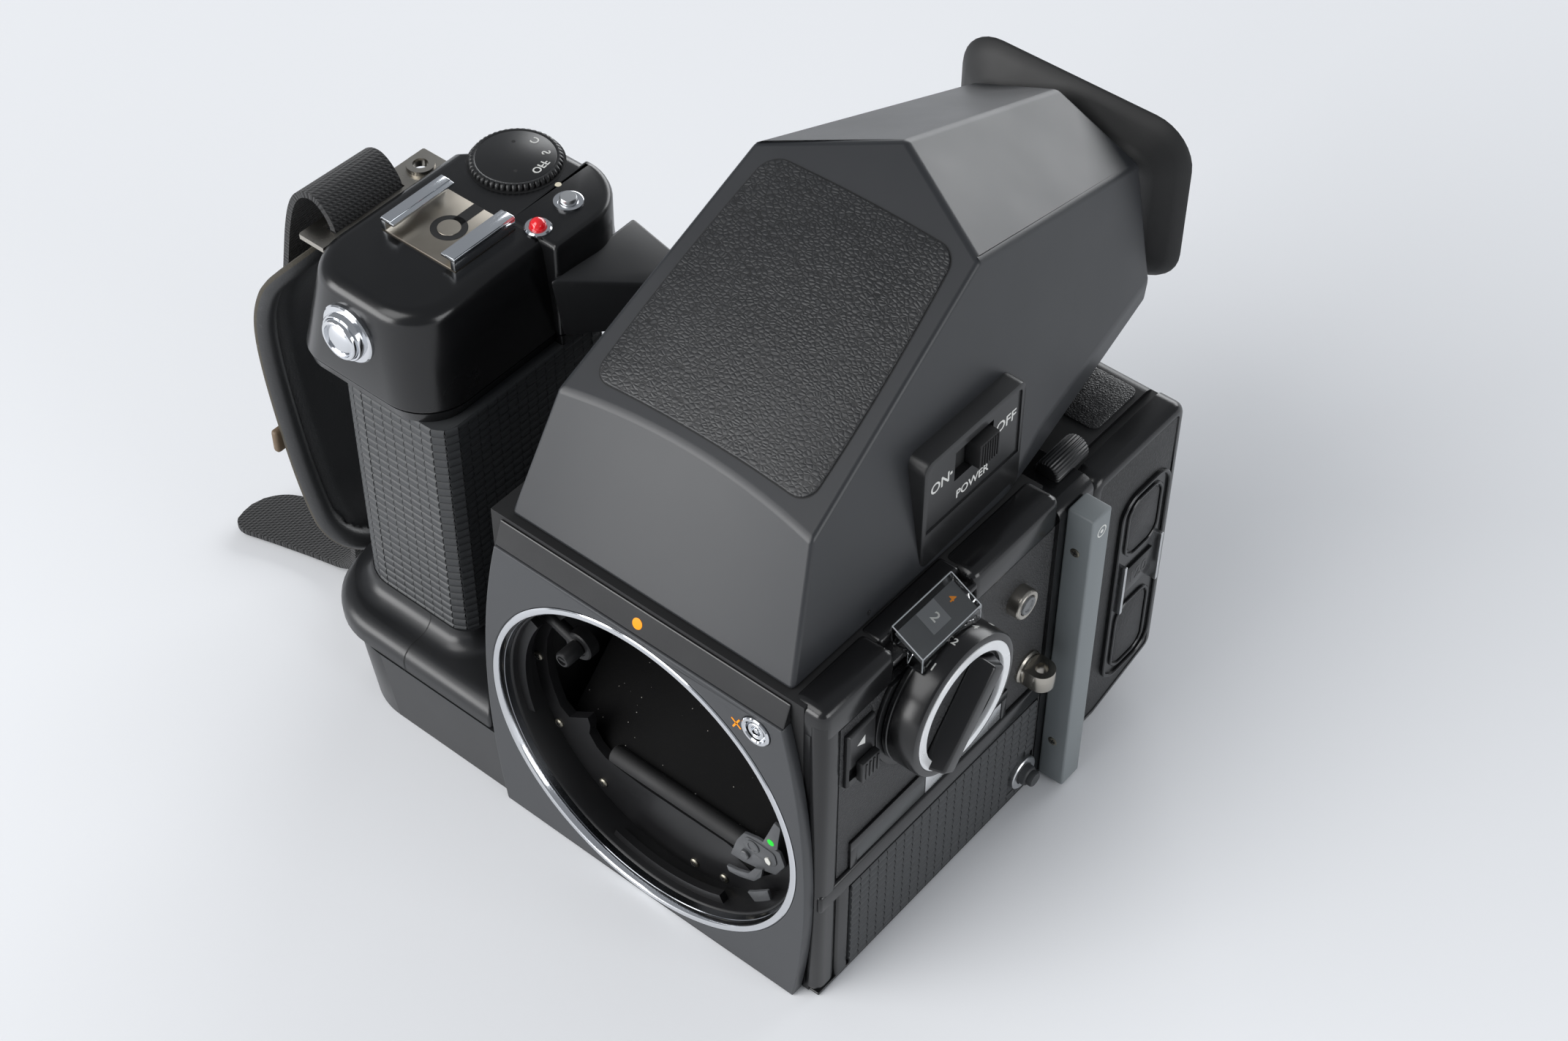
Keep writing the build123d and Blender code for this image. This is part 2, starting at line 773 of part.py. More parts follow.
# Lens release: a flat housing with a slot, and a slider that runs forwards.
housing_face = leather_face + housing_height
foot_front = slider_depth + slider_foot_inset
foot_rear = slider_depth + slider_length - slider_foot_inset
foot_bottom = slider_bottom + slider_foot_inset
foot_top = slider_top - slider_foot_inset
with BuildPart() as release_housing:
    block((leather_face, housing_face), (housing_front, housing_rear), (housing_bottom, housing_top))
    chamfer(faces().filter_by(Axis.X).sort_by(Axis.X)[-1].edges(), edge_break)
    block((housing_face - slider_foot, housing_face + 1),
          (foot_front - slider_travel - seat_gap, foot_rear + seat_gap),
          (foot_bottom - seat_gap, foot_top + seat_gap), mode=Mode.SUBTRACT)
save(release_housing, "release_housing")

with BuildPart() as release_slider:
    block((housing_face + slip, housing_face + slider_proud),
          (slider_depth, slider_depth + slider_length), (slider_bottom, slider_top))
    chamfer(faces().sort_by(Axis.X)[-1].edges(), edge_break)
    block((housing_face - slider_foot + slip, housing_face + slip), (foot_front, foot_rear),
          (foot_bottom, foot_top))
save(release_slider, "release_slider")

# Round push button in a chromed collar.
with BuildPart() as button_collar:
    rod_x((leather_face, leather_face + collar_height), side_button_at[0], side_button_at[1], collar_radius)
    rod_x((leather_face, leather_face + collar_height), side_button_at[0], side_button_at[1],
          side_button_radius + slip, mode=Mode.SUBTRACT)
save(button_collar, "button_collar")

button_face = leather_face + collar_height + side_button_proud
with BuildPart() as side_button:
    rod_x((leather_face + side_button_travel + cloth_gap, button_face), side_button_at[0],
          side_button_at[1], side_button_radius)
save(side_button, "side_button")

# Shutter speed dial: a fixed base, a turning drum with a bar knob in its
# recessed end, and a bright ring.
dial_depth, dial_z = dial_at
dial_end = dial_top + dial_height
with BuildPart() as dial_base:
    rod_x((leather_face, dial_top - slip), dial_depth, dial_z, dial_base_radius)
    block((leather_face, dial_top), (0, core_rear), (top_rail_bottom - slip, body_height),
          mode=Mode.SUBTRACT)
    rod_x((leather_face, dial_top), dial_depth, dial_z, dial_axle_radius + slip, mode=Mode.SUBTRACT)
save(dial_base, "dial_base")

knob_plane = Plane(origin=(dial_end - dial_recess_depth, y_at(dial_depth), dial_z), z_dir=(1, 0, 0),
                   x_dir=(0, cos(radians(knob_angle)), sin(radians(knob_angle))))
with BuildPart() as shutter_dial:
    rod_x((dial_top, dial_end), dial_depth, dial_z, dial_radius)
    chamfer(faces().sort_by(Axis.X)[-1].edges(), edge_break)
    rod_x((dial_end - dial_ring_depth, dial_end), dial_depth, dial_z, dial_ring_outer + slip,
          mode=Mode.SUBTRACT)
    rod_x((dial_end - dial_recess_depth, dial_end), dial_depth, dial_z, dial_recess_radius,
          mode=Mode.SUBTRACT)
    rod_x((dial_top - dial_axle_length, dial_top), dial_depth, dial_z, dial_axle_radius)
    with BuildSketch(knob_plane):
        panel((-knob_half_length, knob_half_length), (-knob_half_width, knob_half_width), knob_corner)
    extrude(amount=dial_recess_depth + knob_reach)
    with BuildSketch(knob_plane.offset(dial_recess_depth + dial_ring_proud + seat_gap)):
        panel((-knob_pointer_length, 0), (-knob_half_width / 2, knob_half_width / 2))
    extrude(amount=knob_reach - dial_ring_proud - seat_gap)
save(shutter_dial, "shutter_dial")

with BuildPart() as dial_ring:
    rod_x((dial_end - dial_ring_depth, dial_end + dial_ring_proud), dial_depth, dial_z, dial_ring_outer)
    rod_x((dial_end - dial_ring_depth, dial_end + dial_ring_proud), dial_depth, dial_z, dial_recess_radius,
          mode=Mode.SUBTRACT)
save(dial_ring, "dial_ring")

# Clear magnifier over the top of the dial, its outer side hollowed to clear the drum.
with BuildPart() as dial_magnifier:
    with BuildSketch(facing_front(magnifier_rear)):
        with BuildLine():
            Polyline((magnifier_inner_x, side_plate_top), (rail_face + seat_gap, side_plate_top),
                     (rail_face + seat_gap, magnifier_outer_bottom),
                     (magnifier_outer_x, magnifier_outer_bottom),
                     (magnifier_outer_x, magnifier_outer_top),
                     (magnifier_inner_x, magnifier_inner_top), close=True)
        make_face()
    extrude(amount=magnifier_rear - magnifier_front)
    rod_x((rail_face, magnifier_outer_x + 1), dial_depth, dial_z, dial_radius + cloth_gap,
          mode=Mode.SUBTRACT)
save(dial_magnifier, "dial_magnifier")


def facet(a, b, c, inside):
    """The plane through three points, its normal pointing away from a point inside."""
    across = (Vector(b) - Vector(a)).cross(Vector(c) - Vector(a))
    if across.dot(Vector(inside) - Vector(a)) > 0:
        across = across * -1
    return Plane(origin=a, z_dir=across)


def finder_facets():
    """Planes of the prism housing, front to rear, right side then left side."""
    heart = (0, y_at(finder_belly_depth), finder_waist_z)
    foot = (0, y_at(finder_front_foot[0]), finder_front_foot[1])
    brow = (0, y_at(finder_brow[0]), finder_brow[1])
    ridge = (0, y_at(finder_ridge_front[0]), finder_ridge_front[1])
    tail = (0, y_at(finder_ridge_rear[0]), finder_ridge_rear[1])
    belly_z = finder_front_foot[1]
    planes = [
        facet(foot, brow, (finder_brow_half, brow[1], brow[2]), heart),
        facet(brow, ridge, (finder_brow_half, brow[1], brow[2]), heart),
        facet((0, y_at(finder_belly_depth), belly_z), (finder_foot_half, y_at(finder_belly_depth), belly_z),
              (0, tail[1], finder_rear_bottom[1]), heart),
        Plane(origin=tail, z_dir=(0, 1, 0)),
        Plane(origin=(0, 0, belly_z), z_dir=(0, 0, -1)),
    ]
    for side in (1, -1):
        side_foot = (side * finder_foot_half, foot[1], foot[2])
        side_brow = (side * finder_brow_half, brow[1], brow[2])
        waist = (side * finder_waist_half, y_at(finder_waist_depth), finder_waist_z)
        rear_top = (side * finder_rear_top[0], tail[1], finder_rear_top[1])
        rear_side = (side * finder_rear_side[0], tail[1], finder_rear_side[1])
        rear_bottom = (side * finder_rear_bottom[0], tail[1], finder_rear_bottom[1])
        planes.append(facet(side_foot, side_brow, waist, heart))
        planes.append(facet(ridge, tail, rear_top, heart))
        planes.append(facet(rear_top, rear_side, waist, heart))
        planes.append(facet(rear_side, rear_bottom, waist, heart))
    return planes


def finder_solid(inset):
    """The faceted prism block, every facet moved in by the same amount."""
    with BuildPart() as solid:
        block(*finder_stock)
        for plane in finder_facets():
            split(bisect_by=plane.offset(-inset), keep=Keep.BOTTOM)
    return solid.part


# Finder cover: the faceted housing, hollow and open below and at the eyepiece.
eyepiece_depth = finder_ridge_rear[0]
prism_inset = finder_wall + prism_gap
with BuildPart() as finder_cover:
    add(finder_solid(0))
    add(finder_solid(finder_wall), mode=Mode.SUBTRACT)
    block((-screen_half_width, screen_half_width), (screen_front, screen_rear),
          (body_height, body_height + 2 * finder_wall), mode=Mode.SUBTRACT)
    block((-eyepiece_half_width, eyepiece_half_width), (eyepiece_depth - 2 * finder_wall, eyepiece_depth),
          (eyepiece_z - eyepiece_half_height, eyepiece_z + eyepiece_half_height), mode=Mode.SUBTRACT)
save(finder_cover, "finder_cover")

# Glass prism inside the cover, standing on its floor over the screen.
with BuildPart() as prism_glass:
    add(finder_solid(prism_inset))
    stock_x, stock_depth, stock_z = finder_stock
    block(stock_x, stock_depth, (stock_z[0], body_height + prism_inset), mode=Mode.SUBTRACT)
    block(stock_x, (eyepiece_depth - prism_to_eyepiece, stock_depth[1]), stock_z, mode=Mode.SUBTRACT)
save(prism_glass, "prism_glass")

# Eyepiece lens in the rear window of the cover.
with BuildPart() as eyepiece_lens:
    block((seat_gap - eyepiece_half_width, eyepiece_half_width - seat_gap),
          (eyepiece_depth - eyepiece_lens_thickness, eyepiece_depth),
          (eyepiece_z - eyepiece_half_height + seat_gap, eyepiece_z + eyepiece_half_height - seat_gap))
save(eyepiece_lens, "eyepiece_lens")

# Rubber eyecup: a flare from the window's frame to a wide rounded rim.
cup_mid = (eyecup_top + eyecup_bottom) / 2
cup_half_height = (eyecup_top - eyecup_bottom) / 2
with BuildPart() as eyecup:
    for inset, mode in ((0, Mode.ADD), (eyecup_wall, Mode.SUBTRACT)):
        with BuildSketch(facing_front(eyepiece_depth)):
            with Locations((0, eyepiece_z)):
                RectangleRounded(2 * (eyecup_neck_half_width - inset),
                                 2 * (eyecup_neck_half_height - inset), eyecup_corner / 2)
        with BuildSketch(facing_front(eyepiece_depth + eyecup_length)):
            with Locations((0, cup_mid)):
                RectangleRounded(2 * (eyecup_half_width - inset), 2 * (cup_half_height - inset),
                                 eyecup_corner - inset / 2)
        loft(mode=mode)
save(eyecup, "eyecup")

# Leather panel on the slanting front of the finder.
brow_to_ridge = Vector(0, finder_ridge_front[0] - finder_brow[0], finder_ridge_front[1] - finder_brow[1])
panel_up = brow_to_ridge.normalized()
panel_plane = Plane(origin=(0, y_at(finder_brow[0]), finder_brow[1]), x_dir=(1, 0, 0),
                    z_dir=Vector(1, 0, 0).cross(panel_up))
panel_end = finder_panel_start + finder_panel_length
with BuildPart() as finder_leather:
    with BuildSketch(panel_plane):
        with BuildLine():
            Polyline((-finder_panel_bottom_half, finder_panel_start),
                     (finder_panel_bottom_half, finder_panel_start),
                     (finder_panel_top_half, panel_end), (-finder_panel_top_half, panel_end), close=True)
        make_face()
        fillet(vertices(), finder_panel_radius)
    extrude(amount=finder_panel_thickness)
save(finder_leather, "finder_leather")

# Power box on the right side of the finder, with the slot of its switch.
box_span = ((power_box_front, power_box_rear), (power_box_bottom, power_box_top))
switch_slot_front = switch_slot_rear - switch_length - switch_travel - 2 * seat_gap
with BuildPart() as power_box:
    with BuildSketch(facing_right(power_box_face)):
        side_panel(*box_span, power_box_radius)
        side_panel((switch_slot_front, switch_slot_rear), (switch_slot_bottom, switch_slot_top),
                   mode=Mode.SUBTRACT)
    extrude(amount=-switch_slot_depth)
    with BuildSketch(facing_right(power_box_face - switch_slot_depth)):
        side_panel(*box_span, power_box_radius)
    extrude(amount=switch_slot_depth - power_box_width)
    add(finder_solid(0), mode=Mode.SUBTRACT)
save(power_box, "power_box")

with BuildPart() as power_switch:
    switch_back = power_box_face - switch_slot_depth + slip
    block((switch_back, switch_back + switch_height),
          (switch_slot_rear - seat_gap - switch_length, switch_slot_rear - seat_gap),
          (switch_slot_bottom + seat_gap, switch_slot_top - seat_gap))
    chamfer(faces().sort_by(Axis.X)[-1].edges(), edge_break)
save(power_switch, "power_switch")

# Front frame of the film back: film window, dark slide slot open to the right,
# and two knuckles with the door's hinge pin.
window_z = (mount_z - film_height / 2, mount_z + film_height / 2)
door_hinge_depth = back_frame_rear + door_knuckle_radius + door_hinge_gap
knuckle_outer = 2 * door_knuckle_half
with BuildPart() as back_frame:
    block((-back_half, back_half), (core_rear, back_frame_rear), (0, back_frame_height))
    fillet(edges().filter_by(Axis.Y).group_by(Axis.Z)[-1], back_frame_radius)
    block((-film_width / 2, film_width / 2), (core_rear, back_frame_rear), window_z, mode=Mode.SUBTRACT)
    block((slide_blade_inner - seat_gap, back_half),
          (slide_front - seat_gap, slide_front + slide_blade_thickness + seat_gap),
          (slide_blade_bottom - seat_gap, slide_blade_top + seat_gap), mode=Mode.SUBTRACT)
    for x in ((-knuckle_outer, -door_knuckle_half), (door_knuckle_half, knuckle_outer)):
        block(x, (back_frame_rear, door_hinge_depth), (0, door_hinge_z + door_knuckle_radius))
        rod_x(x, door_hinge_depth, door_hinge_z, door_knuckle_radius)
    rod_x((-door_knuckle_half, door_knuckle_half), door_hinge_depth, door_hinge_z, door_pin_radius)
save(back_frame, "back_frame")

# Film back door: a hollow shell hinged along its lower front edge, with a
# slanting lower rear edge and a groove beside the end cap.
door_front = back_frame_rear + door_front_gap
knuckle_clear = door_hinge_depth + door_knuckle_radius + cloth_gap
with BuildPart() as back_door:
    with BuildSketch(facing_right(-back_half)):
        with BuildLine():
            Polyline((y_at(door_front), 0), (y_at(back_depth - door_bevel_run), 0),
                     (y_at(back_depth), door_bevel_rise), (y_at(back_depth), door_height),
                     (y_at(door_front), door_height), close=True)
        make_face()
    extrude(amount=back_half + cap_inner)
    fillet(edges().filter_by(Axis.X).sort_by(lambda edge: edge.center().Y + edge.center().Z)[-1],
           door_edge_radius)
    block((door_wall - back_half, cap_inner - door_wall), (door_front, back_depth - door_wall),
          (door_bevel_rise + door_wall / 2, door_height - door_wall), mode=Mode.SUBTRACT)
    block((door_wall - back_half, cap_inner - door_wall), (door_front, back_depth - door_bevel_run),
          (door_wall, door_height / 2), mode=Mode.SUBTRACT)
    block((cap_inner - door_groove_width, cap_inner), (door_front, back_depth),
          (door_height - door_groove_depth, door_height), mode=Mode.SUBTRACT)
    block((-back_half, cap_inner), (door_front, door_hinge_depth),
          (0, door_hinge_z + cloth_gap), mode=Mode.SUBTRACT)
    block((-knuckle_outer - seat_gap, knuckle_outer + seat_gap), (door_front, knuckle_clear),
          (0, door_hinge_z + door_knuckle_radius + cloth_gap), mode=Mode.SUBTRACT)
    inner_knuckle = door_knuckle_half - seat_gap
    rod_x((-inner_knuckle, inner_knuckle), door_hinge_depth, door_hinge_z, door_knuckle_radius)
    block((-inner_knuckle, inner_knuckle), (door_hinge_depth, knuckle_clear),
          (door_hinge_z - door_knuckle_radius, door_hinge_z + door_knuckle_radius - seat_gap))
    rod_x((-inner_knuckle, inner_knuckle), door_hinge_depth, door_hinge_z, door_pin_radius + slip,
          mode=Mode.SUBTRACT)
save(back_door, "back_door")

# Solid end cap on the door's right side.
with BuildPart() as end_cap:
    with BuildSketch(facing_right(cap_inner)):
        with BuildLine():
            Polyline((y_at(door_front), 0), (y_at(back_depth - door_bevel_run), 0),
                     (y_at(back_depth), door_bevel_rise), (y_at(back_depth), cap_height),
                     (y_at(door_front), cap_height), close=True)
        make_face()
    extrude(amount=back_half - cap_inner)
    fillet(edges().filter_by(Axis.X).sort_by(lambda edge: edge.center().Y + edge.center().Z)[-1],
           cap_radius)
    block((cap_inner, back_half), (door_front, door_hinge_depth), (0, door_hinge_z + cloth_gap),
          mode=Mode.SUBTRACT)
save(end_cap, "end_cap")

# Raised bezel on the end cap with a cross bar that is free at both ends.
bar_inset = bezel_width + 2 * seat_gap + tab_width + tab_travel + cloth_gap
with BuildPart() as side_bezel:
    with BuildSketch(facing_right(back_half)):
        side_panel((bezel_front, bezel_rear), (bezel_bottom, bezel_top), bezel_radius)
        side_panel((bezel_front + bezel_width, bezel_rear - bezel_width),
                   (bezel_bottom + bezel_width, bezel_top - bezel_width), bezel_radius - bezel_width,
                   mode=Mode.SUBTRACT)
        side_panel((bezel_front + bar_inset, bezel_rear - bar_inset), (bezel_bar_bottom, bezel_bar_top))
    extrude(amount=bezel_proud)
save(side_bezel, "side_bezel")

# Two bright tabs inside the bezel's uprights, squeezed together to open the door.
tab_front_depth = bezel_front + bezel_width + seat_gap
tab_rear_depth = bezel_rear - bezel_width - seat_gap - tab_width
with BuildPart() as squeeze_tab_front:
    block((back_half + slip, back_half + bezel_proud + tab_proud),
          (tab_front_depth, tab_front_depth + tab_width), (tab_bottom, tab_top))
save(squeeze_tab_front, "squeeze_tab_front")

with BuildPart() as squeeze_tab_rear:
    block((back_half + slip, back_half + bezel_proud + tab_proud),
          (tab_rear_depth, tab_rear_depth + tab_width), (tab_bottom, tab_top))
save(squeeze_tab_rear, "squeeze_tab_rear")

# Ribbed latch slider on the frame's top edge.
with BuildPart() as back_latch:
    block((latch_left, latch_right), (latch_front, latch_rear),
          (back_frame_height + slip, back_frame_height + latch_height))
    chamfer(faces().sort_by(Axis.Z)[-1].edges(), edge_break)
    ribs = int((latch_right - latch_left - latch_rib_margin) / latch_rib_pitch)
    with Locations(((latch_left + latch_right) / 2, y_at((latch_front + latch_rear) / 2),
                    back_frame_height + latch_height)):
        with GridLocations(latch_rib_pitch, 0, ribs, 1):
            Box(latch_rib_pitch / 2, latch_rear - latch_front - 2 * latch_rib_margin, latch_rib_depth,
                mode=Mode.SUBTRACT)
save(back_latch, "back_latch")

# Film insert: two cheeks with spool pins and the pressure plate between them.
cheek_outer = insert_plate_inner + insert_plate_thickness
with BuildPart() as film_insert:
    for side in (-1, 1):
        cheek = sorted((side * insert_plate_inner, side * cheek_outer))
        block(cheek, (back_frame_rear, insert_depth), (insert_bottom, insert_top))
        pin = sorted((side * insert_plate_inner, side * (insert_plate_inner - spool_pin_length)))
        for z in (lower_spool_z, upper_spool_z):
            rod_x(pin, spool_depth, z, spool_bore_radius - slip)
    block((-insert_plate_inner, insert_plate_inner),
          (back_frame_rear + film_channel, back_frame_rear + film_channel + pressure_plate_thickness),
          (slide_blade_bottom, slide_blade_top))
save(film_insert, "film_insert")

# Film spools: the empty take-up spool above, the full supply spool below.
for name, z, core in (("take_up_spool", upper_spool_z, spool_core_radius),
                      ("supply_spool", lower_spool_z, film_roll_radius)):
    with BuildPart() as spool:
        rod_x((-spool_half_length, spool_half_length), spool_depth, z, core)
        for side in (-1, 1):
            flange = sorted((side * spool_half_length, side * (spool_half_length - spool_flange_thickness)))
            rod_x(flange, spool_depth, z, spool_flange_radius)
            hollow = sorted((side * spool_half_length, side * (spool_half_length - spool_pin_length)))
            rod_x(hollow, spool_depth, z, spool_bore_radius, mode=Mode.SUBTRACT)
    save(spool, name)

# Dark slide: a thin blade in the frame's slot and its long upright handle.
with BuildPart() as dark_slide_blade:
    block((slide_blade_inner, back_half + seat_gap), (slide_front, slide_front + slide_blade_thickness),
          (slide_blade_bottom, slide_blade_top))
save(dark_slide_blade, "dark_slide_blade")

with BuildPart() as dark_slide_handle:
    block((back_half + seat_gap, back_half + slide_handle_proud), (slide_handle_front, slide_handle_rear),
          (slide_handle_bottom, slide_handle_top))
    chamfer(faces().sort_by(Axis.X)[-1].edges(), edge_break)
save(dark_slide_handle, "dark_slide_handle")


def rounded_outline(x, depth, front_left, front_right, rear_right, rear_left):
    """A rectangle seen from above with its own radius at each corner."""
    left, right = x
    front, rear = y_at(depth[0]), y_at(depth[1])
    with BuildLine() as outline:
        FilletPolyline((left, front), (right, front), (right, rear), (left, rear), close=True,
                       radius=[front_left, front_right, rear_right, rear_left])
    make_face(outline.edges())


# Lower half of the grip's base, drawn in a little towards its foot.
base_right = -core_half - slip
base_depths = (grip_base_front, grip_base_rear)
with BuildPart() as base_cover:
    with BuildSketch(level(base_split)):
        rounded_outline((grip_left, base_right), base_depths, base_front_corner, base_inner_corner,
                        base_inner_corner, base_rear_corner)
    with BuildSketch(level(0)):
        rounded_outline((grip_left + base_draft, base_right),
                        (grip_base_front + base_draft / 2, grip_base_rear - base_draft / 2),
                        base_front_corner, base_inner_corner, base_inner_corner, base_rear_corner)
    loft()
    with BuildSketch(facing_front(core_front + seat_gap)):
        plate_outline(seat_gap)
    extrude(amount=2 * core_front, mode=Mode.SUBTRACT)
save(base_cover, "base_cover")

# Upper half of the base, rising in a flare around the column.
with BuildPart() as grip_base:
    with BuildSketch(level(base_split)):
        rounded_outline((grip_left, base_right), base_depths, base_front_corner, base_inner_corner,
                        base_inner_corner, base_rear_corner)
    extrude(amount=base_top - base_split)
    fillet(edges().group_by(Axis.Z)[-1], base_edge_radius)
    with BuildSketch(facing_front(core_front + seat_gap)):
        plate_outline(seat_gap)
    extrude(amount=2 * core_front, mode=Mode.SUBTRACT)
    with BuildSketch(level(base_top)):
        rounded_outline((column_left, column_right + column_flare),
                        (column_front - column_flare, column_rear + column_flare),
                        column_left_radius, column_right_radius, column_right_radius, column_left_radius)
    with BuildSketch(level(column_bottom)):
        rounded_outline((column_left, column_right), (column_front, column_rear),
                        column_left_radius, column_right_radius, column_right_radius, column_left_radius)
    loft()
save(grip_base, "grip_base")

# Rubber column held in the hand.
with BuildPart() as grip_column:
    with BuildSketch(level(column_bottom)):
        rounded_outline((column_left, column_right), (column_front, column_rear),
                        column_left_radius, column_right_radius, column_right_radius, column_left_radius)
    extrude(amount=head_bottom - column_bottom)
save(grip_column, "grip_column")

# Head of the grip: rounded outline with its rear left corner cut away, a lip
# below the seam, and wells for the mode dial and the buttons.
mode_x, mode_depth = mode_dial_at
button_x, button_depth = top_button_at
lamp_x, lamp_depth = lamp_at
release_x, release_z = release_at
dial_seat = head_top + mode_dial_proud - mode_dial_height
well_bottom = head_top + top_button_proud - top_button_length - top_button_travel - seat_gap
release_front = head_front - release_collar_length - release_button_proud
release_well = release_front + release_button_length + release_travel + seat_gap
with BuildPart() as grip_head:
    with BuildSketch(level(head_bottom)):
        rounded_outline((head_left + head_lip_inset, head_right - head_lip_inset),
                        (head_front + head_lip_inset, head_rear - head_lip_inset),
                        head_front_left_radius, head_front_right_radius, head_rear_radius, head_notch_corner)
    extrude(amount=head_seam - head_bottom)
    with BuildSketch(level(head_seam)):
        rounded_outline((head_left, head_right), (head_front, head_rear),
                        head_front_left_radius, head_front_right_radius, head_rear_radius, head_notch_corner)
    extrude(amount=head_top - head_seam)
    with BuildSketch(level(head_bottom)):
        with BuildLine():
            Polyline((head_left, y_at(head_rear - head_notch)), (head_left, y_at(head_rear)),
                     (head_left + head_notch, y_at(head_rear)), close=True)
        make_face()
    extrude(amount=head_top - head_bottom, mode=Mode.SUBTRACT)
    fillet(edges().group_by(Axis.Z)[-1], head_edge_radius)
    rod_z(mode_x, mode_depth, (dial_seat - seat_gap, head_top), mode_dial_radius + cloth_gap,
          mode=Mode.SUBTRACT)
    rod_z(mode_x, mode_depth, (dial_seat - mode_axle_length - seat_gap, dial_seat),
          mode_axle_radius + slip, mode=Mode.SUBTRACT)
    rod_z(button_x, button_depth, (well_bottom, head_top), top_button_radius + slip, mode=Mode.SUBTRACT)
    rod_y(release_x, (head_front, release_well), release_z, release_button_radius + slip,
          mode=Mode.SUBTRACT)
save(grip_head, "grip_head")

# Mode dial on its axle, let into the head.
with BuildPart() as mode_dial:
    rod_z(mode_x, mode_depth, (dial_seat, dial_seat + mode_dial_height), mode_dial_radius)
    chamfer(edges().group_by(Axis.Z)[-1], edge_break)
    rod_z(mode_x, mode_depth, (dial_seat - mode_axle_length, dial_seat), mode_axle_radius)
save(mode_dial, "mode_dial")

# Accessory shoe: a floor plate and two rails folded inwards.
shoe_inner = shoe_half_width - shoe_rail_wall
with BuildPart() as hot_shoe:
    with BuildSketch(facing_front(shoe_rear)):
        with BuildLine():
            Polyline(
                (-shoe_half_width, 0), (shoe_half_width, 0), (shoe_half_width, shoe_height),
                (shoe_half_gap, shoe_height), (shoe_half_gap, shoe_height - shoe_lip_thickness),
                (shoe_inner, shoe_height - shoe_lip_thickness), (shoe_inner, shoe_floor),
                (-shoe_inner, shoe_floor), (-shoe_inner, shoe_height - shoe_lip_thickness),
                (-shoe_half_gap, shoe_height - shoe_lip_thickness), (-shoe_half_gap, shoe_height),
                (-shoe_half_width, shoe_height), close=True)
        make_face()
    extrude(amount=shoe_rear - shoe_front)
hot_shoe.part = Pos(shoe_centre_x, 0, head_top) * hot_shoe.part
save(hot_shoe, "hot_shoe")

# Chromed collars of the release button, the top button and the lamp.
with BuildPart() as head_collars:
    rod_y(release_x, (head_front - release_collar_length, head_front), release_z, release_collar_radius)
    rod_y(release_x, (head_front - release_collar_length, head_front), release_z,
          release_button_radius + slip, mode=Mode.SUBTRACT)
    rod_z(button_x, button_depth, (head_top, head_top + bezel_height), top_bezel_radius)
    rod_z(button_x, button_depth, (head_top, head_top + bezel_height), top_button_radius + slip,
          mode=Mode.SUBTRACT)
    rod_z(lamp_x, lamp_depth, (head_top, head_top + bezel_height), lamp_bezel_radius)
    with Locations((lamp_x, y_at(lamp_depth), head_top + bezel_height)):
        Sphere(lamp_radius)
        Cylinder(lamp_bezel_radius, 2 * lamp_radius, align=(Align.CENTER, Align.CENTER, Align.MAX),
                 mode=Mode.SUBTRACT)
    rod_z(lamp_x, lamp_depth, (head_top, head_top + bezel_height), lamp_bezel_radius)
save(head_collars, "head_collars")

with BuildPart() as top_button:
    top_button_face = head_top + bezel_height + top_button_proud
    rod_z(button_x, button_depth, (top_button_face - top_button_length, top_button_face),
          top_button_radius)
save(top_button, "top_button")

with BuildPart() as release_button:
    rod_y(release_x, (release_front, release_front + release_button_length), release_z,
          release_button_radius)
    fillet(edges().sort_by(Axis.Y)[0], release_edge_radius)
save(release_button, "release_button")

# Sloping web between the head and the body.
with BuildPart() as grip_web:
    with BuildSketch(facing_front(web_rear)):
        with BuildLine():
            Polyline((head_right, web_bottom), (web_reach, web_bottom), (web_reach, web_top - web_fall),
                     (head_right, web_top), close=True)
        make_face()
    extrude(amount=web_rear - web_front)
save(grip_web, "grip_web")

# Nickel strap plates: a level one on the head with a slot for the webbing and
# an eyelet behind it, and an upright one on the base.
eyelet_x, eyelet_depth = eyelet_at
plate_left = head_left - upper_bracket_reach
with BuildPart() as strap_brackets:
    block((plate_left, head_left), upper_bracket_depth,
          (upper_bracket_z, upper_bracket_z + bracket_thickness))
    block((plate_left + upper_bracket_bar, head_left - upper_bracket_root),
          (strap_depth[0] - cloth_gap, strap_depth[1] + cloth_gap),
          (upper_bracket_z, upper_bracket_z + bracket_thickness), mode=Mode.SUBTRACT)
    fillet(edges().filter_by(Axis.Z).group_by(Axis.X)[0], edge_break)
    rod_z(eyelet_x, eyelet_depth, (upper_bracket_z, upper_bracket_z + bracket_thickness + eyelet_height),
          eyelet_radius)
    rod_z(eyelet_x, eyelet_depth, (upper_bracket_z, upper_bracket_z + bracket_thickness + eyelet_height),
          eyelet_bore, mode=Mode.SUBTRACT)
    block((grip_left - bracket_thickness, grip_left), lower_bracket_depth, lower_bracket_z)
save(strap_brackets, "strap_brackets")


def shifted(route, distance):
    """Points along a route's curve, moved to its left, close enough to redraw the curve."""
    curve = Edge.make_spline([Vector(*point) for point in route])
    count = samples_per_point * (len(route) - 1)
    moved = []
    for index in range(count + 1):
        point = curve @ (index / count)
        along = curve % (index / count)
        moved.append((point.X - along.Y * distance, point.Y + along.X * distance))
    return moved


def band_outline(route, half_thickness):
    """A face of even thickness along a route."""
    with BuildLine() as outline:
        one = Spline(*shifted(route, half_thickness))
        other = Spline(*shifted(route, -half_thickness))
        Line(one @ 0, other @ 0)
        Line(one @ 1, other @ 1)
    make_face(outline.edges())


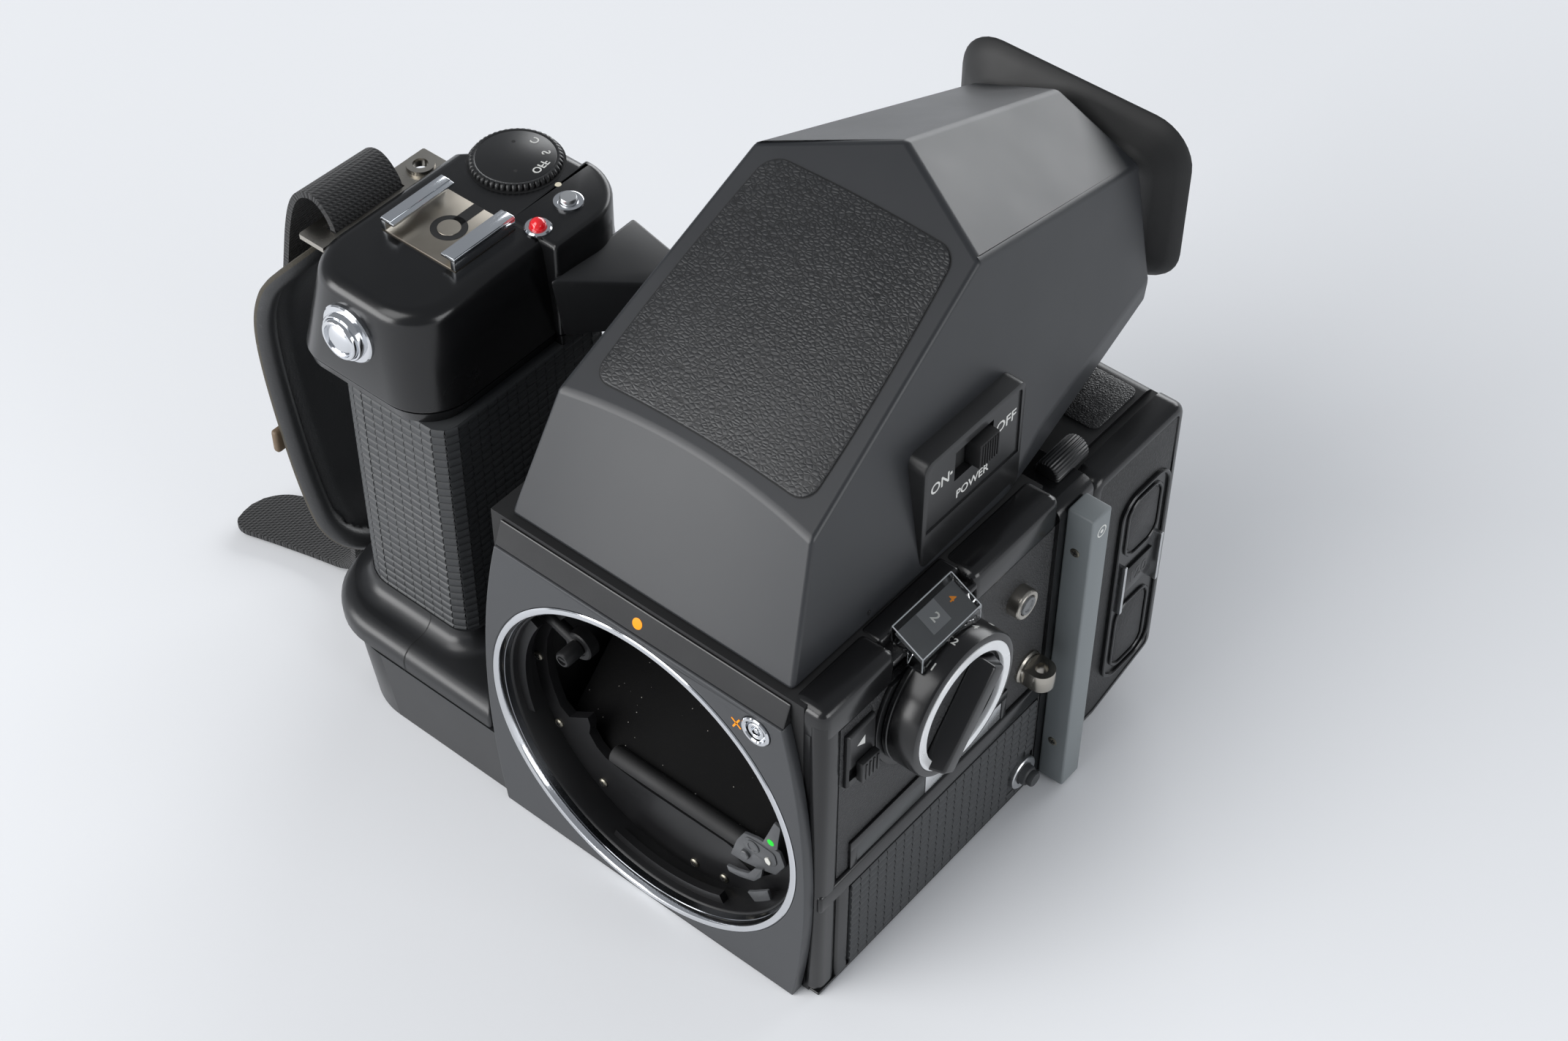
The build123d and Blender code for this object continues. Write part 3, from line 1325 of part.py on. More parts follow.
# Stiff leather pad of the hand strap, its corners rounded.
with BuildPart() as hand_strap_pad:
    with BuildSketch(facing_front(pad_rear)):
        band_outline(pad_route, pad_half_thickness)
    extrude(amount=pad_rear - pad_front)
    pad_z = [point[1] for point in pad_route]
    with BuildSketch(facing_right(pad_stock[0])):
        side_panel((pad_front, pad_rear), (min(pad_z) - pad_half_thickness, max(pad_z) + pad_half_thickness),
                   pad_corner)
    extrude(amount=pad_stock[1] - pad_stock[0], mode=Mode.INTERSECT)
save(hand_strap_pad, "hand_strap_pad")

# Webbing: out of the top bracket, over and down behind the pad, tail on the floor.
pad_to_strap = pad_half_thickness + cloth_gap + strap_half_thickness
strap_run = shifted(pad_route, -pad_to_strap)[strap_leaves_top:strap_leaves_bottom]
with BuildPart() as hand_strap_webbing:
    with BuildSketch(facing_front(strap_depth[1])):
        band_outline(list(strap_loop) + strap_run + list(strap_tail), strap_half_thickness)
    extrude(amount=strap_depth[1] - strap_depth[0])
save(hand_strap_webbing, "hand_strap_webbing")
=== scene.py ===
from math import cos, pi, radians, sin

import bmesh
import bpy
from bmesh import ops
from bmesh.types import BMEdge, BMFace, BMVert
from mathutils import Matrix, Vector


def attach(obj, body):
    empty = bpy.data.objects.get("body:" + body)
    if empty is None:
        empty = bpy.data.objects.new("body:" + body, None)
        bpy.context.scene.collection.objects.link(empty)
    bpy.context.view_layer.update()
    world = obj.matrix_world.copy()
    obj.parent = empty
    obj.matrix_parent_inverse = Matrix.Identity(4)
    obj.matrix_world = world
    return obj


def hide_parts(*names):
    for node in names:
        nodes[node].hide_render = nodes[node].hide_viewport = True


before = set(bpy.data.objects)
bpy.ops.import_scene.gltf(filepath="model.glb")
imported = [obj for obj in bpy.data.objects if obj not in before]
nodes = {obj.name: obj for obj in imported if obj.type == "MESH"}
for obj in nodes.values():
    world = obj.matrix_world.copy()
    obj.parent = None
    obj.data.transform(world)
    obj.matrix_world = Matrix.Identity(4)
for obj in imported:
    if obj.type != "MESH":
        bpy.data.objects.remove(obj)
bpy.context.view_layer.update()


# The camera stands where the photographer's did: about 0.65 m away, over the
# front right corner, looking down at 46 degrees, with a short telephoto lens.
def stand(thing):
    """Puts an object into the scene."""
    bpy.context.scene.collection.objects.link(thing)
    return thing


eye = Vector((0.252554, -0.307407, 0.500877))
azimuth, elevation, roll = radians(39.250), radians(46.434), radians(0.488)
back = Vector((sin(azimuth) * cos(elevation), -cos(azimuth) * cos(elevation), sin(elevation)))
right = (-back).cross(Vector((0, 0, 1))).normalized()
up = right.cross(-back)
right, up = cos(roll) * right + sin(roll) * up, cos(roll) * up - sin(roll) * right
focal_pixels, photo_width, sensor = 3820.64, 2144, 36.0
photographer = bpy.data.cameras.new("photographer")
photographer.sensor_width = sensor
photographer.lens = focal_pixels / photo_width * sensor
photographer.clip_start = 0.01
camera = stand(bpy.data.objects.new("camera", photographer))
camera.matrix_world = Matrix((right, up, back)).transposed().to_4x4()
camera.location = eye
bpy.context.scene.camera = camera
bpy.context.scene.view_settings.view_transform = "Standard"

# The studio: a white sweep of paper lit by four broad boxes, at the front left,
# overhead, to the right and behind, and the pale room all around.
cool_white = (0.97, 0.985, 1.0)
for name, place, aim, size, power, tint in (
        ("front_left", (-0.7, -1.25, 0.38), (0, 0, 0.1), (1.5, 0.74), 22.0, (1, 1, 1)),
        ("overhead", (-0.3, -0.95, 1.2), (0, 0, 0.05), (0.95, 0.95), 10.0, (1, 1, 1)),
        ("right", (1.35, 0.1, 0.42), (0, 0, 0.06), (0.8, 0.7), 7.0, cool_white),
        ("rear", (-0.35, 1.85, 0.62), (0, 0, 0.1), (2.3, 0.9), 28.0, cool_white)):
    light = bpy.data.lights.new(name, "AREA")
    light.shape, light.size, light.size_y = "RECTANGLE", size[0], size[1]
    light.energy, light.color = power, tint
    lamp = stand(bpy.data.objects.new(name, light))
    lamp.location = place
    lamp.rotation_euler = (Vector(aim) - Vector(place)).to_track_quat("-Z", "Y").to_euler()


def plug(node, inputs):
    """Links or fills a node's inputs; a node given as a value stands for its first output."""
    for key, value in inputs.items():
        if isinstance(value, bpy.types.Node):
            value = value.outputs[0]
        if isinstance(value, bpy.types.NodeSocket):
            node.id_data.links.new(value, node.inputs[key])
        else:
            node.inputs[key].default_value = value


def wire(tree, kind, inputs=None, **settings):
    """Adds a shader node, sets its options and plugs its inputs."""
    node = tree.nodes.new("ShaderNode" + kind)
    for key, value in settings.items():
        setattr(node, key, value)
    plug(node, inputs or {})
    return node


def mixed(tree, share, first, second):
    """Blends two colours by a share."""
    return wire(tree, "Mix", {"Factor": share, "A": first, "B": second},
                data_type="RGBA").outputs["Result"]


def opened(material):
    """A material's node tree and its shader."""
    material.use_nodes = True
    return material.node_tree, material.node_tree.nodes["Principled BSDF"]


room = bpy.data.worlds.new("room")
room.use_nodes = True
plug(room.node_tree.nodes["Background"], {"Color": (0.86, 0.9, 0.96, 1), "Strength": 0.32})
bpy.context.scene.world = room
paper = bpy.data.materials.new("studio_paper")
tree, shader = opened(paper)
drift = wire(tree, "TexNoise", {"Scale": 1.2, "Detail": 1.0})
plug(shader, {"Base Color": mixed(tree, drift, (0.77, 0.78, 0.8, 1), (0.85, 0.86, 0.88, 1)),
              "Roughness": 0.9, "Specular IOR Level": 0.2})
floor_half, below_the_feet = 3.0, 0.0002
shape = bmesh.new()
ops.create_grid(shape, x_segments=1, y_segments=1, size=floor_half)
ops.translate(shape, verts=shape.verts, vec=(0, 0, -below_the_feet))
mesh = bpy.data.meshes.new("studio_floor")
shape.to_mesh(mesh)
shape.clear()
mesh.materials.append(paper)
stand(bpy.data.objects.new("studio_floor", mesh))


# The body is die-cast and painted matt black like the film insert behind it, with
# a turned brass bush for the tripod in its floor.
def finish(name, dark, light, roughness, grain, relief, **sockets):
    """A finish whose tone and gloss drift slowly over the surface, above an even grain.

    The grain's size and its relief are in millimetres.
    """
    material = bpy.data.materials.new(name)
    tree, shader = opened(material)
    place = wire(tree, "TexCoord").outputs["Object"]
    cloud = wire(tree, "TexNoise", {"Vector": place, "Scale": 45.0, "Detail": 5.0})
    fine = wire(tree, "TexNoise", {"Vector": place, "Scale": 1000.0 / grain, "Detail": 2.0})
    plug(shader, {
        "Base Color": mixed(tree, cloud, (*dark, 1), (*light, 1)),
        "Roughness": wire(tree, "MapRange", {"Value": cloud, "From Min": 0.3, "From Max": 0.7,
                                             "To Min": roughness[0], "To Max": roughness[1]}),
        "Normal": wire(tree, "Bump", {"Height": fine, "Distance": relief / 1000, "Strength": 1.0}),
        **{key.replace("_", " "): value for key, value in sockets.items()}})
    return material


def dress(material, *names, edge=0.3):
    """Gives CAD nodes a material and breaks their sharp edges by a few tenths of a millimetre."""
    for name in names:
        part = nodes[name]
        for slot in part.material_slots:
            slot.link = "OBJECT"
            slot.material = material
        if edge > 0:
            part.modifiers.new("joined", "WELD").merge_threshold = 0.000002
            broken = part.modifiers.new("broken_edges", "BEVEL")
            broken.width, broken.segments = edge / 1000, 2
            broken.limit_method, broken.angle_limit = "ANGLE", radians(32)


# This matt black is the body's paint, and also the painted shade of the rubber pits, the screw
# crosses, the spanner holes and the dial's well.
matt_black_and_shade = finish("matt_black_paint_and_shade", (0.004, 0.004, 0.0045), (0.008, 0.008, 0.0085),
                    (0.6, 0.75), 0.2, 0.02)
brass = finish("turned_brass", (0.42, 0.3, 0.12), (0.6, 0.46, 0.2), (0.25, 0.4), 0.3, 0.01,
               Metallic=1.0)
dress(matt_black_and_shade, "body_shell", "film_insert", edge=0.2)
dress(brass, "tripod_bush", edge=0.15)

# The front plate is pressed metal in fine dark grey satin paint, with a
# slanting gloss bar above it that carries the orange index of the lens.
plate_grey = finish("dark_grey_satin", (0.029, 0.0305, 0.0335), (0.0375, 0.0395, 0.043),
                    (0.36, 0.43), 0.12, 0.005)
gloss_black = finish("gloss_black_enamel", (0.005, 0.005, 0.0055), (0.008, 0.008, 0.0085),
                     (0.18, 0.26), 0.8, 0.004)
dress(plate_grey, "front_plate")
dress(gloss_black, "top_front_bar", edge=0.25)
rightwards, forwards, rearwards, upwards = (
    Vector(way) for way in ((1, 0, 0), (0, -1, 0), (0, 1, 0), (0, 0, 1)))
plate_face = -45.0


def at(x, depth, z):
    """A place in millimetres, its depth counted back from the front plate's face."""
    return Vector((x, plate_face + depth, z)) / 1000


def assemble(name, material, body="camera", replaces=(), crease=38):
    """Makes what is drawn an object that rides on a body, smooth except at its creases.

    Every piece is drawn in the one shape, which is emptied here for the next.
    """
    ops.remove_doubles(shape, verts=shape.verts, dist=1e-7)
    ops.recalc_face_normals(shape, faces=shape.faces)
    for face in shape.faces:
        face.smooth = True
    for edge in shape.edges:
        edge.smooth = edge.calc_face_angle(pi) < radians(crease)
    mesh = bpy.data.meshes.new(name)
    shape.to_mesh(mesh)
    shape.clear()
    for one in material if isinstance(material, list) else [material]:
        mesh.materials.append(one)
    piece = stand(bpy.data.objects.new(name, mesh))
    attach(piece, body)
    if replaces:
        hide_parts(*replaces)
    return piece


def turned(centre, axis, profile, steps=48):
    """Turns (radius, distance along the axis) pairs, in millimetres, into a round part."""
    axis = Vector(axis).normalized()
    side = axis.orthogonal().normalized()
    line = [shape.verts.new(centre + side * radius / 1000 + axis * along / 1000)
            for radius, along in profile]
    edges = [shape.edges.new(pair) for pair in zip(line, line[1:])]
    ops.spin(shape, geom=line + edges, cent=centre, axis=axis, dvec=(0, 0, 0), angle=2 * pi,
             steps=steps, use_merge=True, use_duplicate=False)
    ops.remove_doubles(shape, verts=shape.verts, dist=1e-7)


paint_orange = finish("orange_paint", (0.86, 0.27, 0.006), (0.95, 0.32, 0.008), (0.4, 0.5),
                      0.3, 0.01, Specular_IOR_Level=0.2)
bar_slope = (0, -5.6, 2.2)
turned(at(0, 1.34, 88.3), bar_slope,
       [(0, -0.3), (1.25, -0.3), (1.25, 0.03), (1.1, 0.08), (0, 0.08)], 32)
assemble("lens_index", paint_orange)

# The flash socket: a chromed sleeve with a sprung pin inside an insulator, and
# an orange cross beside it, filled paint in the plate.
chrome = finish("bright_chrome", (0.66, 0.68, 0.71), (0.78, 0.79, 0.81), (0.08, 0.16), 0.5, 0.003,
                Metallic=1.0)
turned(at(31.6, 0, 81.0), forwards,
       [(0, -2.5), (3.5, -2.5), (3.5, 0.25), (3.3, 0.5), (2.75, 0.5), (2.5, 0.2), (2.5, -1.2),
        (1.95, -1.2), (1.95, 0.1), (1.75, 0.25), (1.35, 0.25), (1.15, 0.1), (1.15, -1.0),
        (0.62, -1.0), (0.62, 0.0), (0.45, 0.12), (0, 0.12)])
assemble("flash_socket", chrome, replaces=["pc_socket"])
for tilt, stroke in ((28, 0.0036), (-52, 0.003)):
    ops.create_cube(shape, size=1.0, matrix=Matrix.Translation(at(26.6, -0.02, 79.6))
                    @ Matrix.Rotation(radians(tilt), 4, "Y")
                    @ Matrix.Diagonal((0.0004, 0.00008, stroke, 1)))
assemble("flash_cross", paint_orange)

# The lens mount: a turned and polished ring of hard chrome, a narrow flat lip
# and a deep bore, and behind it a black seat, held by screws from behind.
mount_height = 42.4
mount = at(0, 0, mount_height)
turned(mount, rearwards,
       [(41.95, 0.3), (42.0, 0.0), (41.8, -0.22), (41.5, -0.3), (40.75, -0.3), (40.5, -0.15),
        (40.35, 0.15), (40.15, 1.2), (40.9, 1.25), (40.9, 3.0), (41.95, 3.0), (41.95, 0.3)], 160)
assemble("mount_ring", chrome, replaces=["lens_mount_ring"], crease=25)
turned(mount, rearwards, [(40.85, 1.3), (40.1, 1.3), (39.98, 1.45), (39.75, 2.7), (39.7, 3.0),
                          (40.85, 3.0), (40.85, 1.3)], 160)
bore_metal = finish("blackened_bore", (0.2, 0.21, 0.225), (0.28, 0.29, 0.31), (0.1, 0.2),
                    0.4, 0.004, Metallic=1.0)
assemble("mount_bore", bore_metal, crease=25)


# The throat behind it is blackened: a collar with three bayonet lugs, a floor
# with cross-headed screws whose window ends at a sill, and a hub for the pin.
def soften(geom, radius, segments=2, affect="EDGES", clamped=False):
    """Rounds edges, or the corners of a face, by a radius in millimetres."""
    return ops.bevel(shape, geom=geom, offset=radius / 1000, offset_type="OFFSET",
                     segments=segments, profile=0.5, affect=affect, material=-1,
                     clamp_overlap=clamped)


def outlined(corners, radius=0.0, steps=6):
    """A flat face through some places, its corners rounded."""
    face = shape.faces.new([shape.verts.new(corner) for corner in corners])
    if radius:
        face = soften(face.verts[:], radius, steps, "VERTICES")["verts"][0].link_faces[0]
    return face


def only(kind, geom):
    """Those of one kind among corners, edges and faces."""
    return [item for item in geom if isinstance(item, kind)]


def thickened(faces, thrust):
    """Extrudes faces along a vector in millimetres, and gives the moved corners and faces."""
    grown = ops.extrude_face_region(shape, geom=faces, use_keep_orig=True)["geom"]
    ops.translate(shape, verts=only(BMVert, grown), vec=Vector(thrust) / 1000)
    return only(BMVert, grown), only(BMFace, grown)


def cut_sheet(corners, thrust, radius=0.0, soft=0.0):
    """A flat shape with rounded corners, thickened along a vector (mm), its far edge broken."""
    moved, top = thickened([outlined(corners, radius)], thrust)
    if soft:
        soften(top[0].edges[:], soft)
    return moved


def block(x, depth, z, soft=0.0, segments=2):
    """A block between two X values, two depths and two heights, its edges rounded."""
    low, high = at(x[0], depth[0], z[0]), at(x[1], depth[1], z[1])
    verts = ops.create_cube(shape, size=1.0, matrix=Matrix.Translation((low + high) / 2)
                            @ Matrix.Diagonal((*(high - low), 1)))["verts"]
    if soft:
        edges = list(dict.fromkeys(edge for vert in verts for edge in vert.link_edges))
        soften(edges, soft, segments, clamped=True)


def upright(depth, outline):
    """Places given as X and Z, all at one depth."""
    return [at(x, depth, z) for x, z in outline]


def round_mount(radius, turn):
    """X and Z at a turn in degrees round the axis of the mount."""
    return radius * cos(radians(turn)), mount_height + radius * sin(radians(turn))


def colour(places, number):
    """Gives the faces round some corners the material of that number."""
    for vert in places:
        for face in vert.link_faces:
            face.material_index = number


black_metal = finish("blackened_metal", (0.005, 0.005, 0.0056), (0.009, 0.009, 0.0096),
                     (0.34, 0.46), 0.25, 0.006, Specular_IOR_Level=0.3)
dress(black_metal, "mirror_holder", "mirror_pin", edge=0.15)
turned(mount, rearwards,
       [(39.7, 2.8), (39.35, 3.0), (39.2, 3.3), (39.2, 9.9), (39.5, 9.9), (39.6, 2.9)], 120)
for start in (30, 150, 250):
    turns = range(start, start + 49, 4)
    cut_sheet(upright(4.6, [round_mount(39.3, turn) for turn in turns]
                      + [round_mount(36.9, turn) for turn in reversed(turns)]), (0, 1.8, 0))
floor_depth = 9.9
window = [(-31.1, 58.7), (-33.6, 54.7), (-35.0, 50.4), (-35.6, 44.9), (-35.3, 38.9), (-34.1, 34.1),
          (-32.6, 30.0), (-30.0, 28.2), (-27.2, 30.2), (-24.4, 32.3), (-23.8, 30.2), (-24.2, 27.1),
          (-22.2, 24.1), (-19.7, 22.3), (-14.7, 21.5), (-8.6, 21.0), (3.2, 21.0), (15.0, 21.1),
          (17.2, 20.6), (17.9, 18.5), (21.4, 17.0), (24.4, 17.1)]
window += [round_mount(35.0, turn) for turn in range(-40, 149, 4)]
rims = []
for outline in (window, [round_mount(39.4, turn) for turn in range(0, 360, 3)]):
    loop = [shape.verts.new(place) for place in upright(floor_depth, outline)]
    rims += [shape.edges.new(pair) for pair in zip(loop, loop[1:] + loop[:1])]
throat_floor = ops.triangle_fill(shape, edges=rims, use_beauty=True)["geom"]
mirror_sweeps_above = 0.057
for vert in thickened(only(BMFace, throat_floor), (0, 0, 0))[0]:
    vert.co.y += 0.0022 if vert.co.z < mirror_sweeps_above else 0.0001
hub_x, hub_z = -25, 56
turned(at(hub_x, floor_depth, hub_z), forwards,
       [(0, -2), (3.6, -2), (3.6, 0.6), (3.3, 0.9), (2.3, 0.9), (2.2, 0.7), (0, 0.7)], 40)
turned(at(hub_x, floor_depth, hub_z), (-0.93, 0, 0.36), [(0, 1), (1.5, 1), (1.5, 10), (0, 10)], 24)
assemble("throat_floor", black_metal, replaces=["throat_plate"])
turned(at(-19, 12.1, 22.5), rightwards,
       [(0, 0), (1.9, 0), (2.2, 0.3), (2.2, 39.7), (1.9, 40), (0, 40)], 32)
assemble("throat_roll", matt_black_and_shade)
turned(at(hub_x, 9, hub_z), forwards,
       [(0, -1.6), (1.5, -1.6), (1.5, 0), (1.95, 0.1), (1.95, 4.5), (1.6, 4.95), (1.15, 5.0),
        (1.1, 4.4), (0, 4.4)], 32)
block((-26.2, -23.8), (4.15, 5.0), (55.65, 56.35), 0.1)
assemble("drive_shaft", black_metal, "drive_pin", replaces=["drive_pin"])

# The levers that read the lens: a grey arm that turns on its stud, its tip worn
# bright, and the fixed pieces around it, one with a green spot of paint.
lever_grey = finish("lever_grey", (0.05, 0.052, 0.055), (0.075, 0.078, 0.082), (0.3, 0.42),
                    0.3, 0.01)
worn_tip = finish("worn_tip", (0.5, 0.5, 0.46), (0.62, 0.61, 0.57), (0.3, 0.4), 0.3, 0.01)
green_spot = finish("green_spot", (0.0, 0.62, 0.02), (0.0, 0.7, 0.03), (0.4, 0.5), 0.3, 0.01)
cut_sheet(upright(8.8, ((21.0, 28.6), (22.0, 31.2), (25.2, 31.6), (29.8, 31.3), (30.5, 28.2),
                        (28.3, 25.9), (26.0, 27.1), (22.6, 26.8))), (0, -0.8, 0), 0.9, 0.12)
turned(at(24.0, 9, 29.5), forwards,
       [(0, -1.2), (1.0, -1.2), (1.0, 1.0), (1.75, 1.02), (1.75, 1.25), (1.55, 1.35), (1.2, 1.35),
        (1.1, 1.2), (0, 1.2)], 32)
colour(cut_sheet(upright(8.0, ((27.2, 28.4), (28.2, 29.2), (29.0, 28.0), (28.6, 26.9),
                               (27.6, 27.2))), (0, -0.25, 0), 0.35), 1)
assemble("reading_lever", [lever_grey, worn_tip], "signal_lever",
         replaces=["signal_lever"])
for depth, soft, outline in (
        (9.0, 0.2, ((17.4, 21.0), (19.2, 27.5), (21.2, 31.4), (25.0, 32.6), (31.0, 32.6),
                    (32.4, 29.0), (30.0, 24.2), (26.0, 22.6), (21.0, 21.2))),
        (8.4, 0.12, ((26.6, 33.0), (28.2, 37.6), (29.9, 42.7), (31.6, 42.0), (31.0, 37.0),
                     (30.8, 34.2), (29.0, 32.7))),
        (8.4, 0.15, ((16.7, 17.0), (20.0, 17.9), (22.9, 19.3), (24.6, 22.5), (26.8, 23.9),
                     (26.4, 20.8), (24.4, 17.8), (20.5, 16.0), (17.4, 15.3))),
        (7.4, 0.2, ((23.3, 14.2), (25.4, 16.0), (29.0, 19.6), (30.0, 16.5), (28.2, 11.2),
                    (25.5, 12.4)))):
    cut_sheet(upright(depth, outline), (0, -0.7, 0), 0.4, soft)
turned(at(21.8, 9, 24.9), forwards, [(0, -1), (1.2, -1), (1.2, 1.3), (1.0, 1.5), (0, 1.5)], 24)
colour(ops.create_circle(shape, cap_ends=True, segments=24, radius=0.0009,
                         matrix=Matrix.Translation(at(29.0, 7.68, 35.3))
                         @ Matrix.Rotation(pi / 2, 4, "X"))["verts"], 1)
assemble("lever_bracket", [lever_grey, green_spot])


# Eight small screws hold the throat, of plain steel that has browned a little,
# low domes with a cross pressed into them.
def cross_screw(centre, axis, radius, height, turn):
    """A low domed screw head with a cross, drawn as thin black bars: painted shade for the cross
    cut into it.
    """
    axis = Vector(axis).normalized()
    turned(centre, axis, [(radius, -height * 0.6), (radius, height * 0.35),
                          (radius * 0.82, height * 0.8), (radius * 0.5, height), (0, height)], 20)
    side = axis.orthogonal().normalized()
    for quarter in (0, 1):
        arm = Matrix.Rotation(radians(turn + 90 * quarter), 3, axis) @ side
        basis = Matrix((arm, axis.cross(arm), axis)).transposed().to_4x4()
        size = Vector((radius * 1.25, radius * 0.24, height * 0.5)) / 1000
        bar = ops.create_cube(shape, size=1.0)["verts"]
        ops.transform(shape, verts=bar, matrix=Matrix.Translation(centre + axis * height / 1000)
                      @ basis @ Matrix.Diagonal((*size, 1)))
        # The black of the cross is painted shade for the cut.
        colour(bar, 1)


screw_steel = finish("old_screw_steel", (0.16, 0.15, 0.12), (0.34, 0.32, 0.27), (0.3, 0.45),
                     0.3, 0.01, Metallic=1.0)
for turn, x, z in ((12, 35.1, 56.0), (40, 17.0, 75.9), (63, -18.0, 76.4), (20, -38.0, 43.0),
                   (-14, -33.2, 23.9), (35, -20.7, 12.9), (5, 5.8, 6.3), (52, 14.3, 8.0)):
    cross_screw(at(x, 9.8, z), forwards, 1.15, 0.5, turn)
assemble("throat_screws", [screw_steel, matt_black_and_shade], replaces=["mount_screws"])

# The mirror is thin coated glass on a blackened plate; below it, and on the
# walls of the chamber, lies black flock that holds a little dust.
mirror_coat = finish("mirror_coat", (0.82, 0.84, 0.86), (0.86, 0.88, 0.9), (0.015, 0.03),
                     2.0, 0.0002, Metallic=1.0)
dress(mirror_coat, "mirror_glass", edge=0)
flock = finish("black_flock", (0.0022, 0.0022, 0.0022), (0.004, 0.004, 0.0042), (0.85, 0.95),
               0.12, 0.05, Specular_IOR_Level=0.15)


def tone_of(shader):
    """What feeds a shader's colour so far."""
    return shader.inputs["Base Color"].links[0].from_socket


tree, shader = opened(flock)
place = wire(tree, "TexCoord").outputs["Object"]
motes = wire(tree, "TexVoronoi", {"Vector": place, "Scale": 800.0, "Randomness": 1.0})
sparse = wire(tree, "TexNoise", {"Vector": place, "Scale": 500.0})
lit = wire(tree, "Math", {0: motes, 1: 0.09}, operation="LESS_THAN")
few = wire(tree, "Math", {0: sparse, 1: 0.6}, operation="GREATER_THAN")
both = wire(tree, "Math", {0: lit, 1: few}, operation="MULTIPLY")
plug(shader, {"Base Color": mixed(tree, both, tone_of(shader), (0.3, 0.29, 0.27, 1))})
dress(flock, "lower_baffle", edge=0)
frosted = finish("ground_glass", (0.7, 0.72, 0.73), (0.78, 0.8, 0.81), (0.35, 0.45), 0.1, 0.01,
                 Transmission_Weight=0.7)
dress(frosted, "focusing_screen", edge=0)


# The right side: gloss rails frame a panel of finely pebbled leatherette, glued
# down, and a moulded rubber grip panel below it.
def pebbled(name, dark, light, grain, relief, stretch=(1, 1, 1), roughness=(0.4, 0.52)):
    """Leather or leatherette: pebbles parted by fine creases, their size in millimetres, with
    painted shade darkening the creases.
    """
    material = finish(name, dark, light, roughness, grain / 4, relief / 5)
    tree, shader = opened(material)
    spread = wire(tree, "Mapping", {"Vector": wire(tree, "TexCoord").outputs["Object"],
                                    "Scale": stretch})
    bend = wire(tree, "TexNoise", {"Vector": spread, "Scale": 450.0 / grain, "Detail": 2.0})
    swing = wire(tree, "VectorMath", {0: bend.outputs["Color"], 1: (grain / 1900,) * 3},
                 operation="MULTIPLY")
    bent = wire(tree, "VectorMath", {0: spread, 1: swing})
    cells = wire(tree, "TexVoronoi", {"Vector": bent, "Scale": 1000.0 / grain},
                 feature="DISTANCE_TO_EDGE")
    pillow = wire(tree, "MapRange", {"Value": cells, "From Min": -0.1, "From Max": 0.45},
                  interpolation_type="SMOOTHSTEP")
    coarse = wire(tree, "TexNoise", {"Vector": spread, "Scale": 260.0 / grain, "Detail": 3.0})
    height = wire(tree, "Math", {0: pillow, 1: coarse})
    under = shader.inputs["Normal"].links[0].from_socket
    # The creases darken the colour to as little as a quarter of its tone: painted shade.
    crease = wire(tree, "MapRange", {"Value": cells, "From Min": 0.0, "From Max": 0.12,
                                     "To Min": 0.25})
    plug(shader, {
        "Normal": wire(tree, "Bump", {"Height": height, "Normal": under,
                                      "Distance": relief / 1000, "Strength": 1.0}),
        "Base Color": wire(tree, "VectorMath", {0: tone_of(shader), 1: crease},
                           operation="MULTIPLY")})
    return material


leatherette = pebbled("fine_leatherette", (0.027, 0.0276, 0.029), (0.039, 0.0397, 0.0415),
                      0.6, 0.15)
dress(leatherette, "side_leather", edge=0)
for x, depth, z, soft in (((41.05, 43.4), (3.2, 79.8), (0.3, 88.0), 0),
                          ((41.05, 45.97), (3.0, 9.5), (0.2, 90.4), 2.3),
                          ((36.8, 46.0), (3.1, 25.8), (83.0, 92.8), 2.3),
                          ((36.8, 46.0), (50.2, 80.0), (83.0, 92.8), 2.3),
                          ((36.8, 42.0), (25.2, 50.8), (83.0, 92.7), 0.9),
                          ((41.05, 45.95), (24.0, 52.0), (88.2, 90.3), 0.9),
                          ((41.05, 46.0), (3.4, 79.86), (29.25, 34.7), 0.8),
                          ((41.05, 45.99), (3.4, 79.83), (0.25, 0.95), 0.3),
                          ((41.05, 45.95), (9.0, 13.35), (0.3, 34.0), 0.8),
                          ((41.05, 45.96), (79.25, 79.95), (0.35, 34.0), 0.3)):
    block(x, depth, z, soft, 4)
assemble("side_frame_rails", gloss_black, replaces=["side_frame"])
rubber = finish("grip_rubber", (0.03, 0.032, 0.034), (0.042, 0.0445, 0.047), (0.44, 0.56),
                0.2, 0.012, Specular_IOR_Level=0.45)


def rubber_brick(centre, along, out, size=(2.9, 2.06), rise=0.34):
    """One moulded brick of the rubber pattern, a half-round bar, and at its end a flat black oval
    that stands for a small pit: painted shade.
    """
    across = out.cross(along)
    ends = []
    for end in (-0.5, 0.5):
        ends.append([shape.verts.new(centre + (along * end * size[0] * (1 - 0.06 * high)
                                               + across * wide * size[1]
                                               + out * (high * rise - 0.08)) / 1000)
                     for wide, high in ((-0.5, 0), (-0.38, 0.7), (-0.16, 1), (0.16, 1),
                                        (0.38, 0.7), (0.5, 0))])
    for step in range(5):
        shape.faces.new((ends[0][step], ends[1][step], ends[1][step + 1], ends[0][step + 1]))
    for end in ends:
        shape.faces.new(end)
    # The pit is not cut: a flat black oval is painted there as its shade.
    pit_shade_at = centre + (along * size[0] * 0.5 + out * (rise * 0.8)) / 1000
    outlined([pit_shade_at + (along * 0.17 * cos(step * pi / 4) + across * 0.42 * sin(step * pi / 4))
              / 1000 for step in range(8)]).material_index = 1


